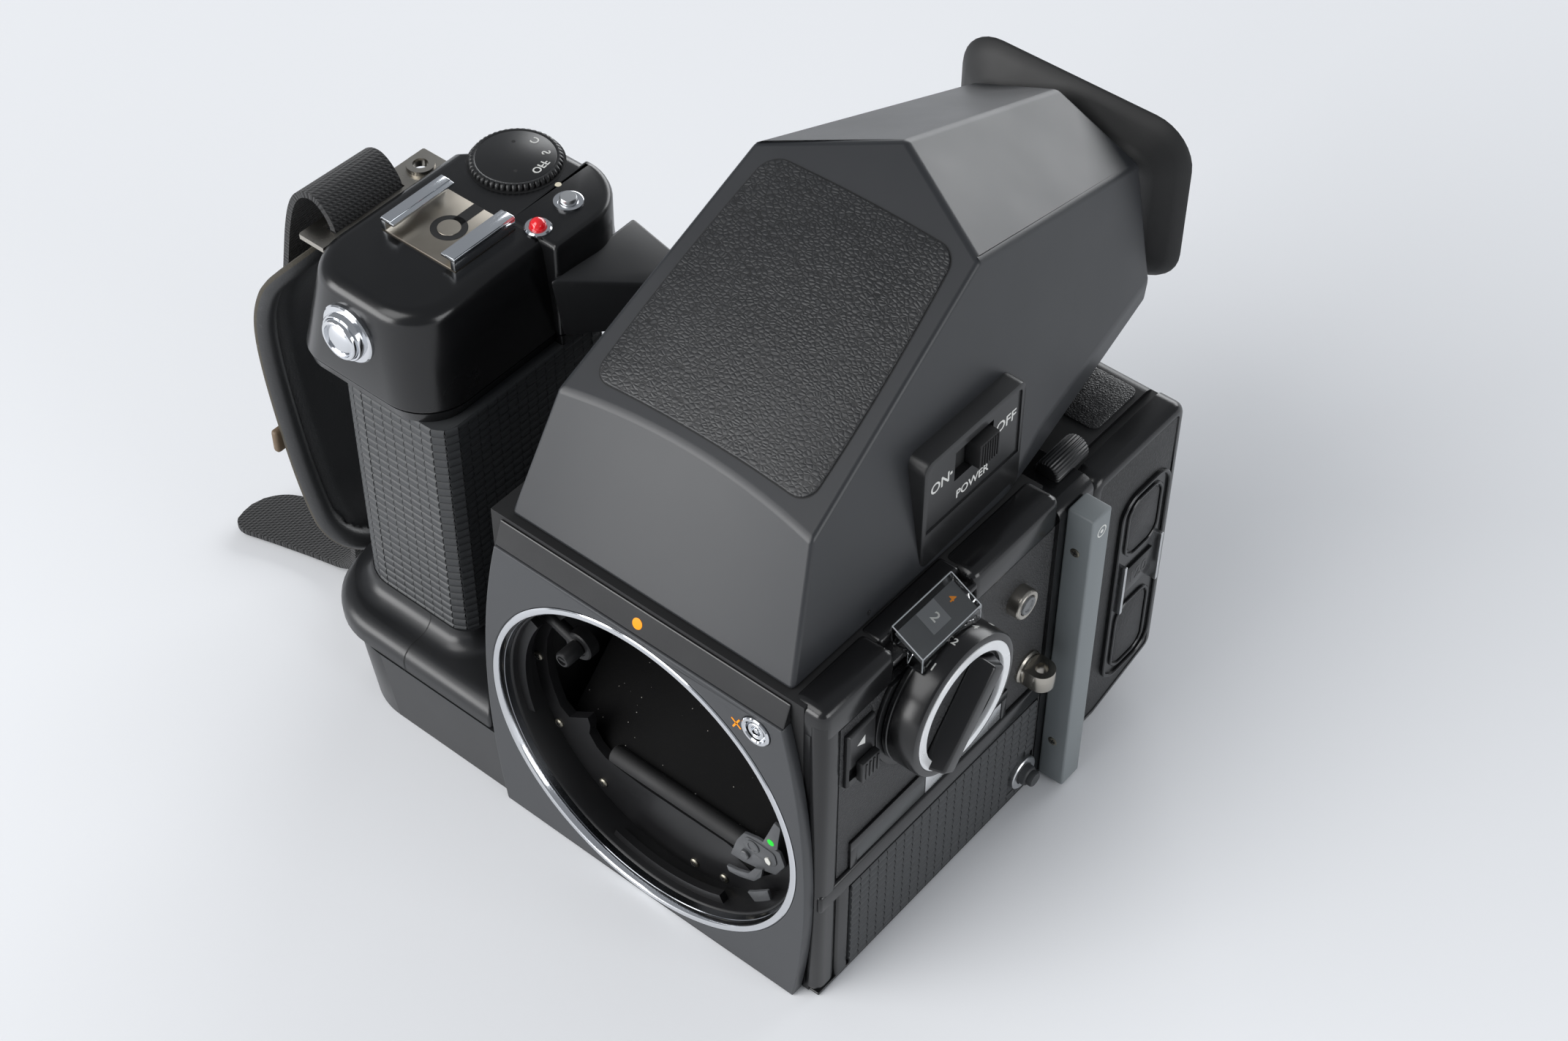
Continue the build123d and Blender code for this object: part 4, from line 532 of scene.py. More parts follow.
cut_sheet([at(43.5, 13.4, 1.0), at(43.5, 78.6, 1.0), at(43.5, 78.6, 29.2), at(43.5, 13.4, 29.2)],
          (2.3, 0, 0), 2.0)
socket_depth, socket_z, socket_clearance = 74.8, 8.2, 28.0
first_brick, brick_step = (15.0, 2.2), (2.97, 2.16)
for row in range(13):
    for column in range(22):
        depth, z = first_brick[0] + brick_step[0] * column, first_brick[1] + brick_step[1] * row
        if (depth - socket_depth) ** 2 + (z - socket_z) ** 2 > socket_clearance:
            rubber_brick(at(46.0, depth, z), rearwards, rightwards)
assemble("rubber_side_panel", [rubber, matt_black_and_shade], replaces=["rubber_panel"],
         crease=60)

# Behind the dial runs a name strip, left bare: a grey plate in a gloss frame,
# and a satin aluminium plate behind it.
satin_aluminium = finish("satin_aluminium", (0.6, 0.61, 0.62), (0.72, 0.73, 0.74), (0.24, 0.34),
                         0.25, 0.004, Metallic=1.0)
label_grey = finish("label_grey", (0.055, 0.058, 0.06), (0.075, 0.079, 0.08), (0.3, 0.4),
                    0.3, 0.004, Metallic=0.4)
block((45.0, 45.75), (13.2, 67.0), (40.6, 43.4), 0.25)
block((45.0, 45.73), (13.25, 15.6), (34.8, 43.3), 0.25)
block((45.0, 45.73), (65.2, 66.95), (34.8, 43.3), 0.25)
assemble("name_strip_frame", gloss_black)
block((44.8, 45.5), (15.7, 38.5), (35.0, 40.5), 0.12)
assemble("name_strip_plate", label_grey)
block((44.8, 45.55), (38.7, 65.1), (35.0, 40.5), 0.12)
assemble("name_strip_silver", satin_aluminium)

# The socket for a remote release: a turned aluminium ring let into the rubber
# panel, with a soft black plug that stands out of it.
turned(at(43.5, socket_depth, socket_z), rightwards,
       [(2.6, 0), (2.6, 3.4), (2.8, 3.7), (4.0, 3.7), (4.25, 3.45), (4.25, 0), (2.6, 0)])
assemble("remote_socket_ring", satin_aluminium, replaces=["release_socket"])
turned(at(44.0, socket_depth, socket_z), rightwards,
       [(0, 0), (2.5, 0), (2.5, 4.4), (2.2, 4.8), (1.9, 4.9), (1.9, 6.0), (1.7, 6.3), (0, 6.3)],
       32)
assemble("remote_socket_plug", rubber)

# The strap lug is a turned steel stud, nickel-plated and worn yellowish, on a
# round foot that is pressed into the side plate.
nickel = finish("worn_nickel", (0.36, 0.33, 0.28), (0.56, 0.54, 0.5), (0.2, 0.4), 0.35, 0.012,
                Metallic=1.0)
dress(nickel, "strap_lug", "strap_brackets", edge=0.45)
turned(at(45.0, 74.4, 43.8), rightwards, [(0, 0), (4.1, 0), (4.1, 0.5), (3.75, 0.9), (0, 0.9)], 40)
assemble("strap_lug_washer", nickel)

# The lens release: a moulded housing screwed on from inside, with a white arrow
# printed on it, and a slider with four ribs for the thumb.
satin_plastic = finish("satin_black_plastic", (0.0095, 0.0097, 0.0102), (0.0145, 0.0148, 0.0155),
                       (0.3, 0.4), 0.22, 0.008)
dress(satin_plastic, "release_housing", edge=0.2)
print_white = finish("white_print", (0.6, 0.6, 0.58), (0.75, 0.75, 0.72), (0.45, 0.55), 0.3, 0.006)
cut_sheet([at(46.28, 13.2, 75.5), at(46.28, 15.7, 74.2), at(46.28, 15.7, 76.8)], (0.05, 0, 0))
assemble("release_arrow", print_white)
block((46.35, 48.1), (13.0, 18.6), (65.2, 71.0), 0.4)
for ridge in (13.9, 15.1, 16.3, 17.5):
    block((47.9, 48.35), (ridge, ridge + 0.5), (65.8, 70.4), 0.1)
block((45.35, 46.4), (14.2, 17.4), (66.4, 69.8))
assemble("lens_release_slider", satin_plastic, "release_slider", replaces=["release_slider"])

# The round push button is a cap of metallic grey plastic that moves in a
# chromed collar, whose plating has begun to pit.
button_depth, button_z = 67.9, 71.0
turned(at(45.0, button_depth, button_z), rightwards,
       [(2.36, 0), (2.36, 2.7), (2.55, 2.95), (3.3, 3.0), (3.6, 2.7), (3.65, 2.3), (3.65, 0),
        (2.36, 0)])
assemble("push_button_collar", nickel, replaces=["button_collar"])
button_grey = finish("button_grey", (0.16, 0.165, 0.17), (0.22, 0.225, 0.23), (0.3, 0.42),
                     0.25, 0.008, Metallic=0.6)
turned(at(46.3, button_depth, button_z), rightwards,
       [(0, 0), (2.28, 0), (2.28, 1.75), (2.1, 2.0), (1.5, 2.0), (1.3, 1.75), (0, 1.7)], 40)
assemble("push_button_cap", button_grey, "side_button",
         replaces=["side_button"])

# Shutter speed dial: a turned black drum on a fixed base, a bright ring, a
# textured recess, and a moulded bar to turn it by.
satin_black = finish("satin_black_paint", (0.0085, 0.0088, 0.0095), (0.013, 0.0133, 0.014),
                     (0.34, 0.42), 0.16, 0.006)
dress(satin_black, "dial_base", edge=0.2)
hub = at(46.0, 38.0, 71.0)
turned(hub, rightwards,
       [(0, 0.05), (16.5, 0.05), (16.8, 0.4), (16.8, 1.2), (16.6, 1.4), (16.6, 1.7), (16.8, 1.9),
        (16.8, 7.4), (16.5, 7.95), (15.9, 8.2), (15.1, 8.2), (15.1, 7.4), (12.6, 7.4),
        (12.45, 6.6), (0, 6.6)], 120)
turned(hub, rightwards, [(0, -1.0), (3.0, -1.0), (3.0, 0.1)], 24)
assemble("speed_dial_drum", gloss_black, "shutter_dial", replaces=["shutter_dial"], crease=30)
turned(hub, rightwards, [(0, 6.5), (12.2, 6.5), (12.2, 6.72), (0, 6.72)], 64)
assemble("speed_dial_recess", leatherette, "shutter_dial")
turned(hub, rightwards, [(12.7, 7.0), (12.7, 8.2), (12.85, 8.42), (14.85, 8.42), (15.0, 8.25),
                         (15.0, 7.0), (12.7, 7.0)], 120)
ring_silver = finish("ring_silver", (0.78, 0.79, 0.8), (0.88, 0.89, 0.9), (0.22, 0.32),
                     0.4, 0.003, Metallic=0.35)
assemble("speed_dial_ring", ring_silver, "shutter_dial", replaces=["dial_ring"])
bar = ops.create_cube(shape, size=1.0)["verts"]
ops.scale(shape, vec=(0.94, 0.5, 1), verts=[vert for vert in bar if vert.co.z > 0])
ops.subdivide_edges(shape, edges=[edge for edge in shape.edges
                                  if abs(edge.verts[0].co.x - edge.verts[1].co.x) > 0.5], cuts=2)
turn = Matrix.Rotation(radians(51), 4, "X")
lay_outwards = Matrix(((0, 0, 1, 0), (1, 0, 0, 0), (0, 1, 0, 0), (0, 0, 0, 1)))
middle = hub + Vector((0.00905, 0, 0)) + turn @ Vector((0, -0.0016, 0))
ops.transform(shape, verts=shape.verts, matrix=Matrix.Translation(middle) @ turn @ lay_outwards
              @ Matrix.Diagonal((0.0262, 0.0088, 0.0048, 1)))
soften([edge for edge in shape.edges if edge.calc_face_angle(0) > 0.3], 0.7, 3)
assemble("speed_dial_bar", gloss_black, "shutter_dial")


# The speeds are printed round the drum in white, and read through a moulded
# block of clear plastic over its top.
def letters(name, text, height, centre, across, above, material, body="camera"):
    """Printed characters, centred at a place on a surface whose normal is across x above."""
    font = bpy.data.curves.new(name, "FONT")
    font.body, font.size, font.extrude = text, height * 1.4 / 1000, 0.00003
    font.offset, font.resolution_u = height * 0.000018, 3
    font.align_x, font.align_y = "CENTER", "CENTER"
    written = stand(bpy.data.objects.new(name, font))
    bpy.context.view_layer.update()
    depsgraph = bpy.context.evaluated_depsgraph_get()
    mesh = bpy.data.meshes.new_from_object(written.evaluated_get(depsgraph))
    bpy.data.objects.remove(written)
    across, above = Vector(across).normalized(), Vector(above).normalized()
    basis = Matrix((across, above, across.cross(above))).transposed().to_4x4()
    mesh.transform(Matrix.Translation(centre) @ basis)
    mesh.materials.clear()
    mesh.materials.append(material)
    piece = stand(bpy.data.objects.new(name, mesh))
    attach(piece, body)


for step, speed in enumerate("8421"):
    angle = radians(90 + 24 * (step - 2))
    out = Vector((0, cos(angle), sin(angle)))
    letters(f"dial_speed_{step}", speed, 1.7, hub + Vector((0.0046, 0, 0)) + out * 0.01682,
            rightwards, out.cross(rightwards), print_white, "shutter_dial")
clear_plastic = finish("clear_plastic", (0.93, 0.95, 0.95), (0.97, 0.98, 0.98), (0.02, 0.05),
                       1.5, 0.002, Transmission_Weight=1.0, IOR=1.49)
dress(clear_plastic, "dial_magnifier", edge=0.35)
scale_grey = finish("scale_grey", (0.035, 0.037, 0.04), (0.11, 0.115, 0.12), (0.3, 0.4),
                    1.0, 0.002)
cut_sheet([at(42.7, 29.1, 92.5), at(49.3, 29.1, 88.75), at(49.3, 46.9, 88.75),
           at(42.7, 46.9, 92.5)], (0, 0, 0.08))
assemble("dial_scale_window", scale_grey)
pale_index = finish("pale_index", (0.16, 0.165, 0.175), (0.21, 0.215, 0.225), (0.3, 0.4),
                    0.3, 0.003)
cut_sheet([at(42.8, 35.0, 92.52), at(47.4, 35.0, 89.91), at(47.4, 40.6, 89.91),
           at(42.8, 40.6, 92.52)], (0, 0, 0.06))
assemble("dial_index", pale_index)
down_the_window = (8.1, 0, -4.6)
letters("scale_two", "2", 2.3, at(45.4, 37.9, 91.2), down_the_window, rearwards, print_white)
letters("scale_four", "4", 1.9, at(45.0, 43.8, 91.4), down_the_window, rearwards, paint_orange)
# Thin grey bars along the edges of the clear block are a painted highlight where its polished edges
# catch the light.
edge_highlight_paint = finish("painted_edge_highlight", (0.34, 0.36, 0.38), (0.46, 0.48, 0.5), (0.2, 0.3),
                     0.3, 0.003)
edge_width, post = 0.00019, Vector((0, 0, 0.0038))
rim = [at(42.15, 28.6, 94.45), at(49.85, 28.6, 90.1), at(49.85, 47.4, 90.1), at(42.15, 47.4, 94.45)]
edges = [*zip(rim, rim[1:] + rim[:1]), *((corner, corner - post) for corner in rim[1:3])]
for first, second in edges:
    along = second - first
    ops.create_cube(shape, size=1.0, matrix=Matrix.Translation((first + second) / 2)
                    @ along.to_track_quat("X", "Z").to_matrix().to_4x4()
                    @ Matrix.Diagonal((along.length, edge_width, edge_width, 1)))
assemble("magnifier_edge_highlights", edge_highlight_paint)


# The prism finder has a faceted housing in satin black, its edges softly
# rounded, and a window for the eyepiece in its rear face.
def sliced(place, out, **how):
    """Cuts what is drawn along a plane."""
    return ops.bisect_plane(shape, geom=[*shape.verts, *shape.edges, *shape.faces],
                            plane_co=place, plane_no=out, **how)


def cut_away(*corners):
    """Slices off what lies outside the plane through three corners, and closes the cut."""
    out = (corners[1] - corners[0]).cross(corners[2] - corners[0]).normalized()
    if out.dot(heart - corners[0]) > 0:
        out = -out
    cut = sliced(corners[0], out, dist=1e-7, clear_outer=True)
    ops.edgeloop_fill(shape, edges=only(BMEdge, cut["geom_cut"]))


satin_housing = finish("satin_housing_paint", (0.0155, 0.0168, 0.0192), (0.0215, 0.023, 0.026),
                       (0.36, 0.43), 0.13, 0.006)
rear, sill = 136.5, 92.4
foot, brow, ridge, tail = at(0, 4.5, sill), at(0, 15.6, 122.2), at(0, 83.2, 159.0), at(0, rear, 140)
heart = at(0, 86, 110)
block((-60, 60), (-1, 150), (sill, 175))
cut_away(foot, brow, brow + rightwards)
cut_away(brow, ridge, ridge + rightwards)
cut_away(tail, tail + rightwards, tail + upwards)
cut_away(at(0, 86, sill), at(1, 86, sill), at(0, rear, 96.4))
for side in (1, -1):
    waist, rear_top = at(36 * side, 84.3, 102), at(21.5 * side, rear, 131.1)
    rear_side, rear_bottom = at(27.4 * side, rear, 102.6), at(26.9 * side, rear, 96.4)
    cut_away(at(36.9 * side, 4.5, sill), at(32.2 * side, 15.6, 122.2), waist)
    cut_away(ridge, tail, rear_top)
    cut_away(rear_top, rear_side, waist)
    cut_away(rear_side, rear_bottom, waist)


# The front face of the housing is a little hollow, so that its upper edge runs
# in a shallow bow; the moulded edges are rounded after that.
def edge_at(place):
    """The edge whose middle is nearest to a place."""
    return min(shape.edges,
               key=lambda edge: ((edge.verts[0].co + edge.verts[1].co) / 2 - place).length)


upper, lower = edge_at(brow), edge_at(foot)
front_face = set(upper.link_faces) & set(lower.link_faces)
ops.delete(shape, geom=list(front_face), context="FACES_ONLY")
chain = []
for edge in (upper, lower):
    chain += only(BMEdge, ops.subdivide_edges(shape, edges=[edge], cuts=13)["geom_split"])
slope = (ridge - brow).normalized()
bow, half_brow = 0.0034, 0.0322
for vert in {vert for edge in chain for vert in edge.verts if abs(vert.co.z - brow.z) < 1e-5}:
    vert.co += slope * bow * max(0.0, 1 - (vert.co.x / half_brow) ** 2)
ops.bridge_loops(shape, edges=chain)
ops.recalc_face_normals(shape, faces=shape.faces)
soften([edge for edge in shape.edges if edge.calc_face_angle(0) > 0.2], 1.1, 4)
rear_face = max((face for face in shape.faces if face.normal.y > 0.99),
                key=lambda face: face.calc_area())
rim = list(rear_face.edges)
ops.delete(shape, geom=[rear_face], context="FACES_ONLY")
pane = outlined(upright(rear, ((-16, 105.5), (16, 105.5), (16, 126.5), (-16, 126.5))))
opening = list(pane.edges)
ops.delete(shape, geom=[pane], context="FACES_ONLY")
ops.bridge_loops(shape, edges=rim + opening)
sleeve = ops.extrude_edge_only(shape, edges=opening)["geom"]
ops.translate(shape, verts=only(BMVert, sleeve), vec=(0, -0.004, 0))
housing = assemble("finder_housing", satin_housing, replaces=["finder_cover"], crease=30)
housing.modifiers.new("even_shading", "WEIGHTED_NORMAL").keep_sharp = True
optical_glass = finish("optical_glass", (0.97, 0.98, 0.98), (0.98, 0.99, 0.99), (0.0, 0.02),
                       2.0, 0.0002, Transmission_Weight=1.0, IOR=1.52)
dress(optical_glass, "prism_glass")
coated_glass = finish("coated_glass", (0.02, 0.022, 0.03), (0.03, 0.03, 0.045), (0.02, 0.05),
                      2.0, 0.0002, Coat_Weight=1.0, Coat_Roughness=0.02)
dress(coated_glass, "eyepiece_lens", edge=0.5)

# A panel of wrinkled black leather is let into the slope, its sides bowed and
# its corners round, in a groove that leaves a fine dark joint.
slope_leather = pebbled("wrinkled_leather", (0.015, 0.0156, 0.0168), (0.023, 0.0238, 0.0255),
                        0.82, 0.085, (0.7, 1, 1), (0.36, 0.46))


def slope_panel(margin):
    """The panel a margin wider, in its own plane: X across, Y up the slope."""
    low, high, foot_half, top_half = 5.4, 61.6, 27.1, 23.0
    face = outlined([(x / 1000, y / 1000, 0) for x, y in (
        (-foot_half - margin, low - margin), (foot_half + margin, low - margin),
        (top_half + margin, high + margin), (-top_half - margin, high + margin))],
        4.0 + margin, 7)
    long_edges = [edge for edge in face.edges if edge.calc_length() > 0.01]
    ops.subdivide_edges(shape, edges=long_edges, cuts=9)
    middle, reach = (low + high) / 2000, (high - low) / 2000
    for vert in shape.verts:
        across, along = vert.co.x / (foot_half / 1000), (vert.co.y - middle) / reach
        vert.co.x += (0.0009 * (1 - min(1, abs(along)) ** 2) * (1 if across > 0 else -1)
                      * min(1, abs(across)))
        vert.co.y += ((0.0011 if along < 0 else 0.0009) * (1 - min(1, abs(across)) ** 2)
                      * min(1, abs(along)))
    ops.triangulate(shape, faces=shape.faces)


on_slope = (Matrix.Translation(brow)
            @ Matrix((rightwards, slope, rightwards.cross(slope))).transposed().to_4x4())
slope_panel(0.0)
ops.inset_region(shape, faces=shape.faces, thickness=0.0003, depth=0.0)
top = thickened(shape.faces[:], (0, 0, 0.42))[0]
soften([edge for edge in shape.edges
        if edge.calc_face_angle(0) > 1.2 and all(vert in top for vert in edge.verts)], 0.3, 3)
ops.transform(shape, verts=shape.verts, matrix=on_slope)
assemble("slope_leather", slope_leather, replaces=["finder_leather"])
slope_panel(0.28)
ops.transform(shape, verts=shape.verts, matrix=on_slope @ Matrix.Translation((0, 0, 0.00003)))
assemble("slope_leather_joint", matt_black_and_shade)

# The housing is held to the body by a small blackened steel screw low on each
# side, with a cross pressed into its head.
for side in (1, -1):
    cross_screw(at(36.45 * side, 28.2, 94.9), (side, 0, 0.16), 0.95, 0.25, 35)
assemble("finder_screws", [black_metal, matt_black_and_shade])

# The power box on its right side is moulded in glossier black, with a sunk
# panel, white filled lettering and the slot of a ribbed slide switch.
cut_sheet([at(26.0, 44, 93), at(26.0, 77, 93), at(26.0, 77, 122.6), at(26.0, 44, 122.6)],
          (11.0, 0, 0), 2.6, 0.7)
sliced(at(0, 0, 102.4), upwards)
panel = max((face for face in shape.faces
             if face.normal.x > 0.9 and face.calc_center_median().z > 0.1024),
            key=lambda face: face.calc_area())
ops.inset_region(shape, faces=[panel], thickness=0.0009, depth=0.0)
ops.inset_region(shape, faces=[panel], thickness=0.00012, depth=-0.0004)
slot_low, slot_high = at(36, 54.3, 110.8), at(36, 66.6, 118.6)
for place in (slot_low, slot_high):
    sliced(place, rearwards)
for place in (slot_low, slot_high):
    sliced(place, upwards)
slot_faces = []
for face in shape.faces:
    spot = face.calc_center_median()
    if (face.normal.x > 0.99 and spot.x > slot_low.x and slot_low.y < spot.y < slot_high.y
            and slot_low.z < spot.z < slot_high.z):
        face.material_index = 1
        slot_faces.append(face)
ops.inset_region(shape, faces=slot_faces, thickness=0.0001, depth=-0.0019)
assemble("power_switch_box", [satin_plastic, matt_black_and_shade], replaces=["power_box"], crease=32)
for name, text, height, depth, z in (("label_on", "ON", 2.75, 49.6, 113.8),
                                     ("label_off", "OFF", 2.75, 70.9, 114.7),
                                     ("label_power", "POWER", 2.2, 60.5, 106.3)):
    letters(name, text, height, at(36.64, depth, z), rearwards, upwards, print_white)
for depth in (53.1, 67.8):
    block((36.6, 36.66), (depth - 0.35, depth + 0.35), (113.9, 114.6))
assemble("switch_dots", print_white)
block((34.7, 38.6), (59.9, 66.2), (110.9, 117.4), 0.35)
for rib in range(7):
    block((38.4, 38.9), (60.5 + 0.8 * rib, 60.92 + 0.8 * rib), (111.3, 117.0), 0.1, 1)
assemble("switch_knob", matt_black_and_shade, "power_switch", replaces=["power_switch"])

# The eyecup is moulded rubber, a soft flare with a rolled lip, pushed on to the
# rear of the housing; each row is one level of it, front to back and in again.
eyecup_rubber = finish("eyecup_rubber", (0.003, 0.0031, 0.0034), (0.005, 0.0052, 0.0055),
                       (0.5, 0.62), 0.3, 0.012, Sheen_Weight=0.05)
rings = []
for depth, half, low, high, radius in (
        (136.6, 21.4, 102.1, 129.9, 5.0), (137.6, 21.5, 102.0, 130.0, 5.2),
        (139.2, 23.8, 100.2, 132.4, 6.6), (141.4, 27.4, 97.6, 136.2, 8.6),
        (143.0, 29.5, 96.3, 138.3, 9.8), (143.8, 29.9, 96.05, 138.65, 10.0),
        (144.0, 29.3, 96.7, 138.0, 9.4), (143.7, 28.3, 97.7, 137.0, 8.6),
        (142.4, 26.9, 99.0, 135.4, 7.8), (139.8, 23.0, 102.0, 131.6, 5.6),
        (137.8, 19.8, 103.9, 128.1, 3.8), (136.6, 19.5, 104.1, 127.9, 3.4)):
    face = outlined(upright(depth, ((-half, low), (half, low), (half, high), (-half, high))),
                    radius, 8)
    rings.append(list(face.edges))
    ops.delete(shape, geom=[face], context="FACES_ONLY")
for first, second in zip(rings, rings[1:]):
    ops.bridge_loops(shape, edges=first + second)
assemble("rubber_eyecup", eyecup_rubber, replaces=["eyecup"], crease=60)

# The roll film back: a black frame carries the dark slide, and behind it a
# leather-covered door swings down with a smooth end cap.
moulded_gloss = finish("moulded_gloss_black", (0.0042, 0.0043, 0.0047), (0.0068, 0.007, 0.0076),
                       (0.2, 0.28), 0.5, 0.005)
dress(moulded_gloss, "back_frame", edge=0.5)
dress(satin_plastic, "back_door")
dress(black_metal, "take_up_spool", "supply_spool", edge=0.15)
back_leather = pebbled("back_leather", (0.014, 0.0145, 0.0153), (0.021, 0.0215, 0.0225),
                       0.7, 0.08, roughness=(0.38, 0.48))
left, right = -43.2, 36.4
for corners, out in (
        (((left, 106.2, 85.0), (right, 106.2, 85.0), (right, 122.6, 85.0), (left, 122.6, 85.0)),
         (0, 0, 0.35)),
        (((left, 127.0, 9.5), (right, 127.0, 9.5), (right, 127.0, 80.6), (left, 127.0, 80.6)),
         (0, 0.35, 0)),
        (((-46.0, 94.0, 5.0), (-46.0, 122.0, 8.6), (-46.0, 122.0, 80.5), (-46.0, 94.0, 80.5)),
         (-0.35, 0, 0))):
    cut_sheet([at(*corner) for corner in corners], out, 2.2, 0.15)
assemble("door_leathers", back_leather, "back_door")


# On the end cap a moulded bezel holds a bar between two bright tabs; pinched
# together they open the back. The bar carries the film size, engraved.
def side_loop(outline, radius, x, inset=0.0):
    """A rounded polygon given as depths and heights, drawn in by the inset, at one X."""
    points = [Vector(point) for point in outline]
    radius = max(radius - inset, 0.4)
    loop = []
    for before, here, after in zip(points[-1:] + points[:-1], points, points[1:] + points[:1]):
        come, leave = (here - before).normalized(), (after - here).normalized()
        inward = Vector((-come.y, come.x)), Vector((-leave.y, leave.x))
        halfway = (inward[0] + inward[1]) / (1 + inward[0].dot(inward[1]))
        middle = here + halfway * (inset + radius)
        for step in range(9):
            bend = come.angle(leave) * step / 8
            spot = middle + radius * Vector((come.y * cos(bend) + come.x * sin(bend),
                                             come.y * sin(bend) - come.x * cos(bend)))
            loop.append(shape.verts.new(at(x, spot.x, spot.y)))
    return loop


def skin(lower, upper):
    """Faces between two levels."""
    for step in range(len(lower)):
        following = (step + 1) % len(lower)
        shape.faces.new((lower[step], lower[following], upper[following], upper[step]))


def stacked(loops):
    """Skins a stack of such levels and closes both ends."""
    for lower, upper in zip(loops, loops[1:]):
        skin(lower, upper)
    shape.faces.new(loops[0])
    shape.faces.new(loops[-1])


def slab(outline, radius, *levels):
    """A solid stacked from levels given as X and inset."""
    stacked([side_loop(outline, radius, x, inset) for x, inset in levels])


def side_frame_of(outline, radius, x, width):
    """A thin moulded frame along such a polygon, standing between two X values."""
    soft = width / 4
    ring = [side_loop(outline, radius, x_at, inset) for x_at, inset in
            ((x[0], 0), (x[1] - soft, 0), (x[1], soft), (x[1], width - soft),
             (x[1] - soft, width), (x[0], width))]
    for lower, upper in zip(ring, ring[1:] + ring[:1]):
        skin(lower, upper)


def tall_box(depth, z):
    """A rectangle between two depths and two heights."""
    return [(depth[0], z[0]), (depth[1], z[0]), (depth[1], z[1]), (depth[0], z[1])]


def rounding(radius, steps):
    """Rise and inset of the levels that round off an upper edge."""
    turns = [pi / 2 * step / steps for step in range(steps + 1)]
    return [(radius * sin(turn), radius * (1 - cos(turn))) for turn in turns]


cap_outline = [(92.3, 0.3), (103.9, 0.3), (126.8, 6.9), (126.8, 85.8), (92.3, 85.8)]
slab(cap_outline, 4.0, (40.2, 0), *((44.0 + rise, inset) for rise, inset in rounding(2.2, 5)),
     (46.2, 2.7), (45.75, 2.9))
assemble("end_cap_shell", moulded_gloss, "back_door", replaces=["end_cap"])
slab(cap_outline, 4.0, (45.7, 3.1), (45.95, 3.1), (46.05, 3.25))
for pad_z in ((14.6, 33.5), (51.5, 67.0)):
    slab(tall_box((108.3, 119.1), pad_z), 3.4, (46.3, 0), (46.6, 0), (46.7, 0.15))
assemble("end_cap_leather", back_leather, "back_door")
bezel_outline = tall_box((104.3, 123.0), (11.0, 70.7))
side_frame_of(bezel_outline, 6.0, (45.9, 47.1), 0.9)
slab(bezel_outline, 6.0, (45.9, 0.8), (46.45, 0.8))
for frame_z in ((13.4, 34.7), (50.3, 68.2)):
    side_frame_of(tall_box((107.1, 120.3), frame_z), 4.4, (46.4, 47.0), 0.8)
block((46.0, 47.1), (108.4, 118.9), (38.9, 46.7), 0.25)
assemble("back_bezel", moulded_gloss, "back_door", replaces=["side_bezel"], crease=35)
engraving = finish("shallow_engraving", (0.045, 0.046, 0.047), (0.06, 0.061, 0.062), (0.5, 0.6),
                   0.3, 0.004)
letters("film_size", "120", 3.4, at(47.12, 113.6, 42.8), rearwards, upwards, engraving,
        "back_door")
dress(satin_aluminium, "squeeze_tab_front", "squeeze_tab_rear", edge=0.2)


# The latch on top of the back is a ribbed barrel of satin black plastic on a
# flat slide, pushed sideways with the thumb.
def fluted(spot, ribs):
    """The cosine of the place between ribs that run round a part."""
    return cos(ribs * Vector((1, 0)).angle_signed(spot, 0.0))


latch_x, latch_z = 37.7, 88.7
turned(at(latch_x, 86.1, latch_z), rearwards,
       [(0, 0), (2.5, 0), (2.95, 0.5), (2.95, 11.0), (2.5, 11.5), (0, 11.5)], 120)
for vert in shape.verts:
    spot = Vector((vert.co.x - latch_x / 1000, vert.co.z - latch_z / 1000))
    if spot.length > 0.002:
        spot *= 1 + 0.045 * fluted(spot, 24)
        vert.co.x, vert.co.z = latch_x / 1000 + spot.x, latch_z / 1000 + spot.y
assemble("latch_barrel", satin_plastic, "back_latch", replaces=["back_latch"], crease=50)

# Dark slide: a thin steel blade with a painted alloy handle, held on it by two
# small screws and marked with a ring and a dot.
thin_steel = finish("thin_steel", (0.4, 0.41, 0.42), (0.5, 0.51, 0.52), (0.25, 0.35), 0.3, 0.004,
                    Metallic=1.0)
dress(thin_steel, "dark_slide_blade", edge=0)
slate_paint = finish("slate_grey_paint", (0.165, 0.184, 0.191), (0.2, 0.22, 0.228), (0.42, 0.52),
                     0.18, 0.008)
block((46.0, 52.7), (82.4, 89.0), (0.6, 87.0), 0.55, 3)
assemble("dark_slide_grip", slate_paint, "dark_slide",
         replaces=["dark_slide_handle"])
for z in (75.7, 13.8):
    cross_screw(at(49.0, 82.4, z), forwards, 1.15, 0.2, 30)
assemble("dark_slide_screws", [screw_steel, matt_black_and_shade], "dark_slide")
mark = at(52.68, 85.9, 82.0)
turned(mark, rightwards, [(1.25, 0), (1.55, 0), (1.55, 0.05), (1.25, 0.05), (1.25, 0)], 32)
turned(mark, rightwards, [(0, 0), (0.5, 0), (0.5, 0.05), (0, 0.05)], 20)
assemble("dark_slide_mark", print_white, "dark_slide")


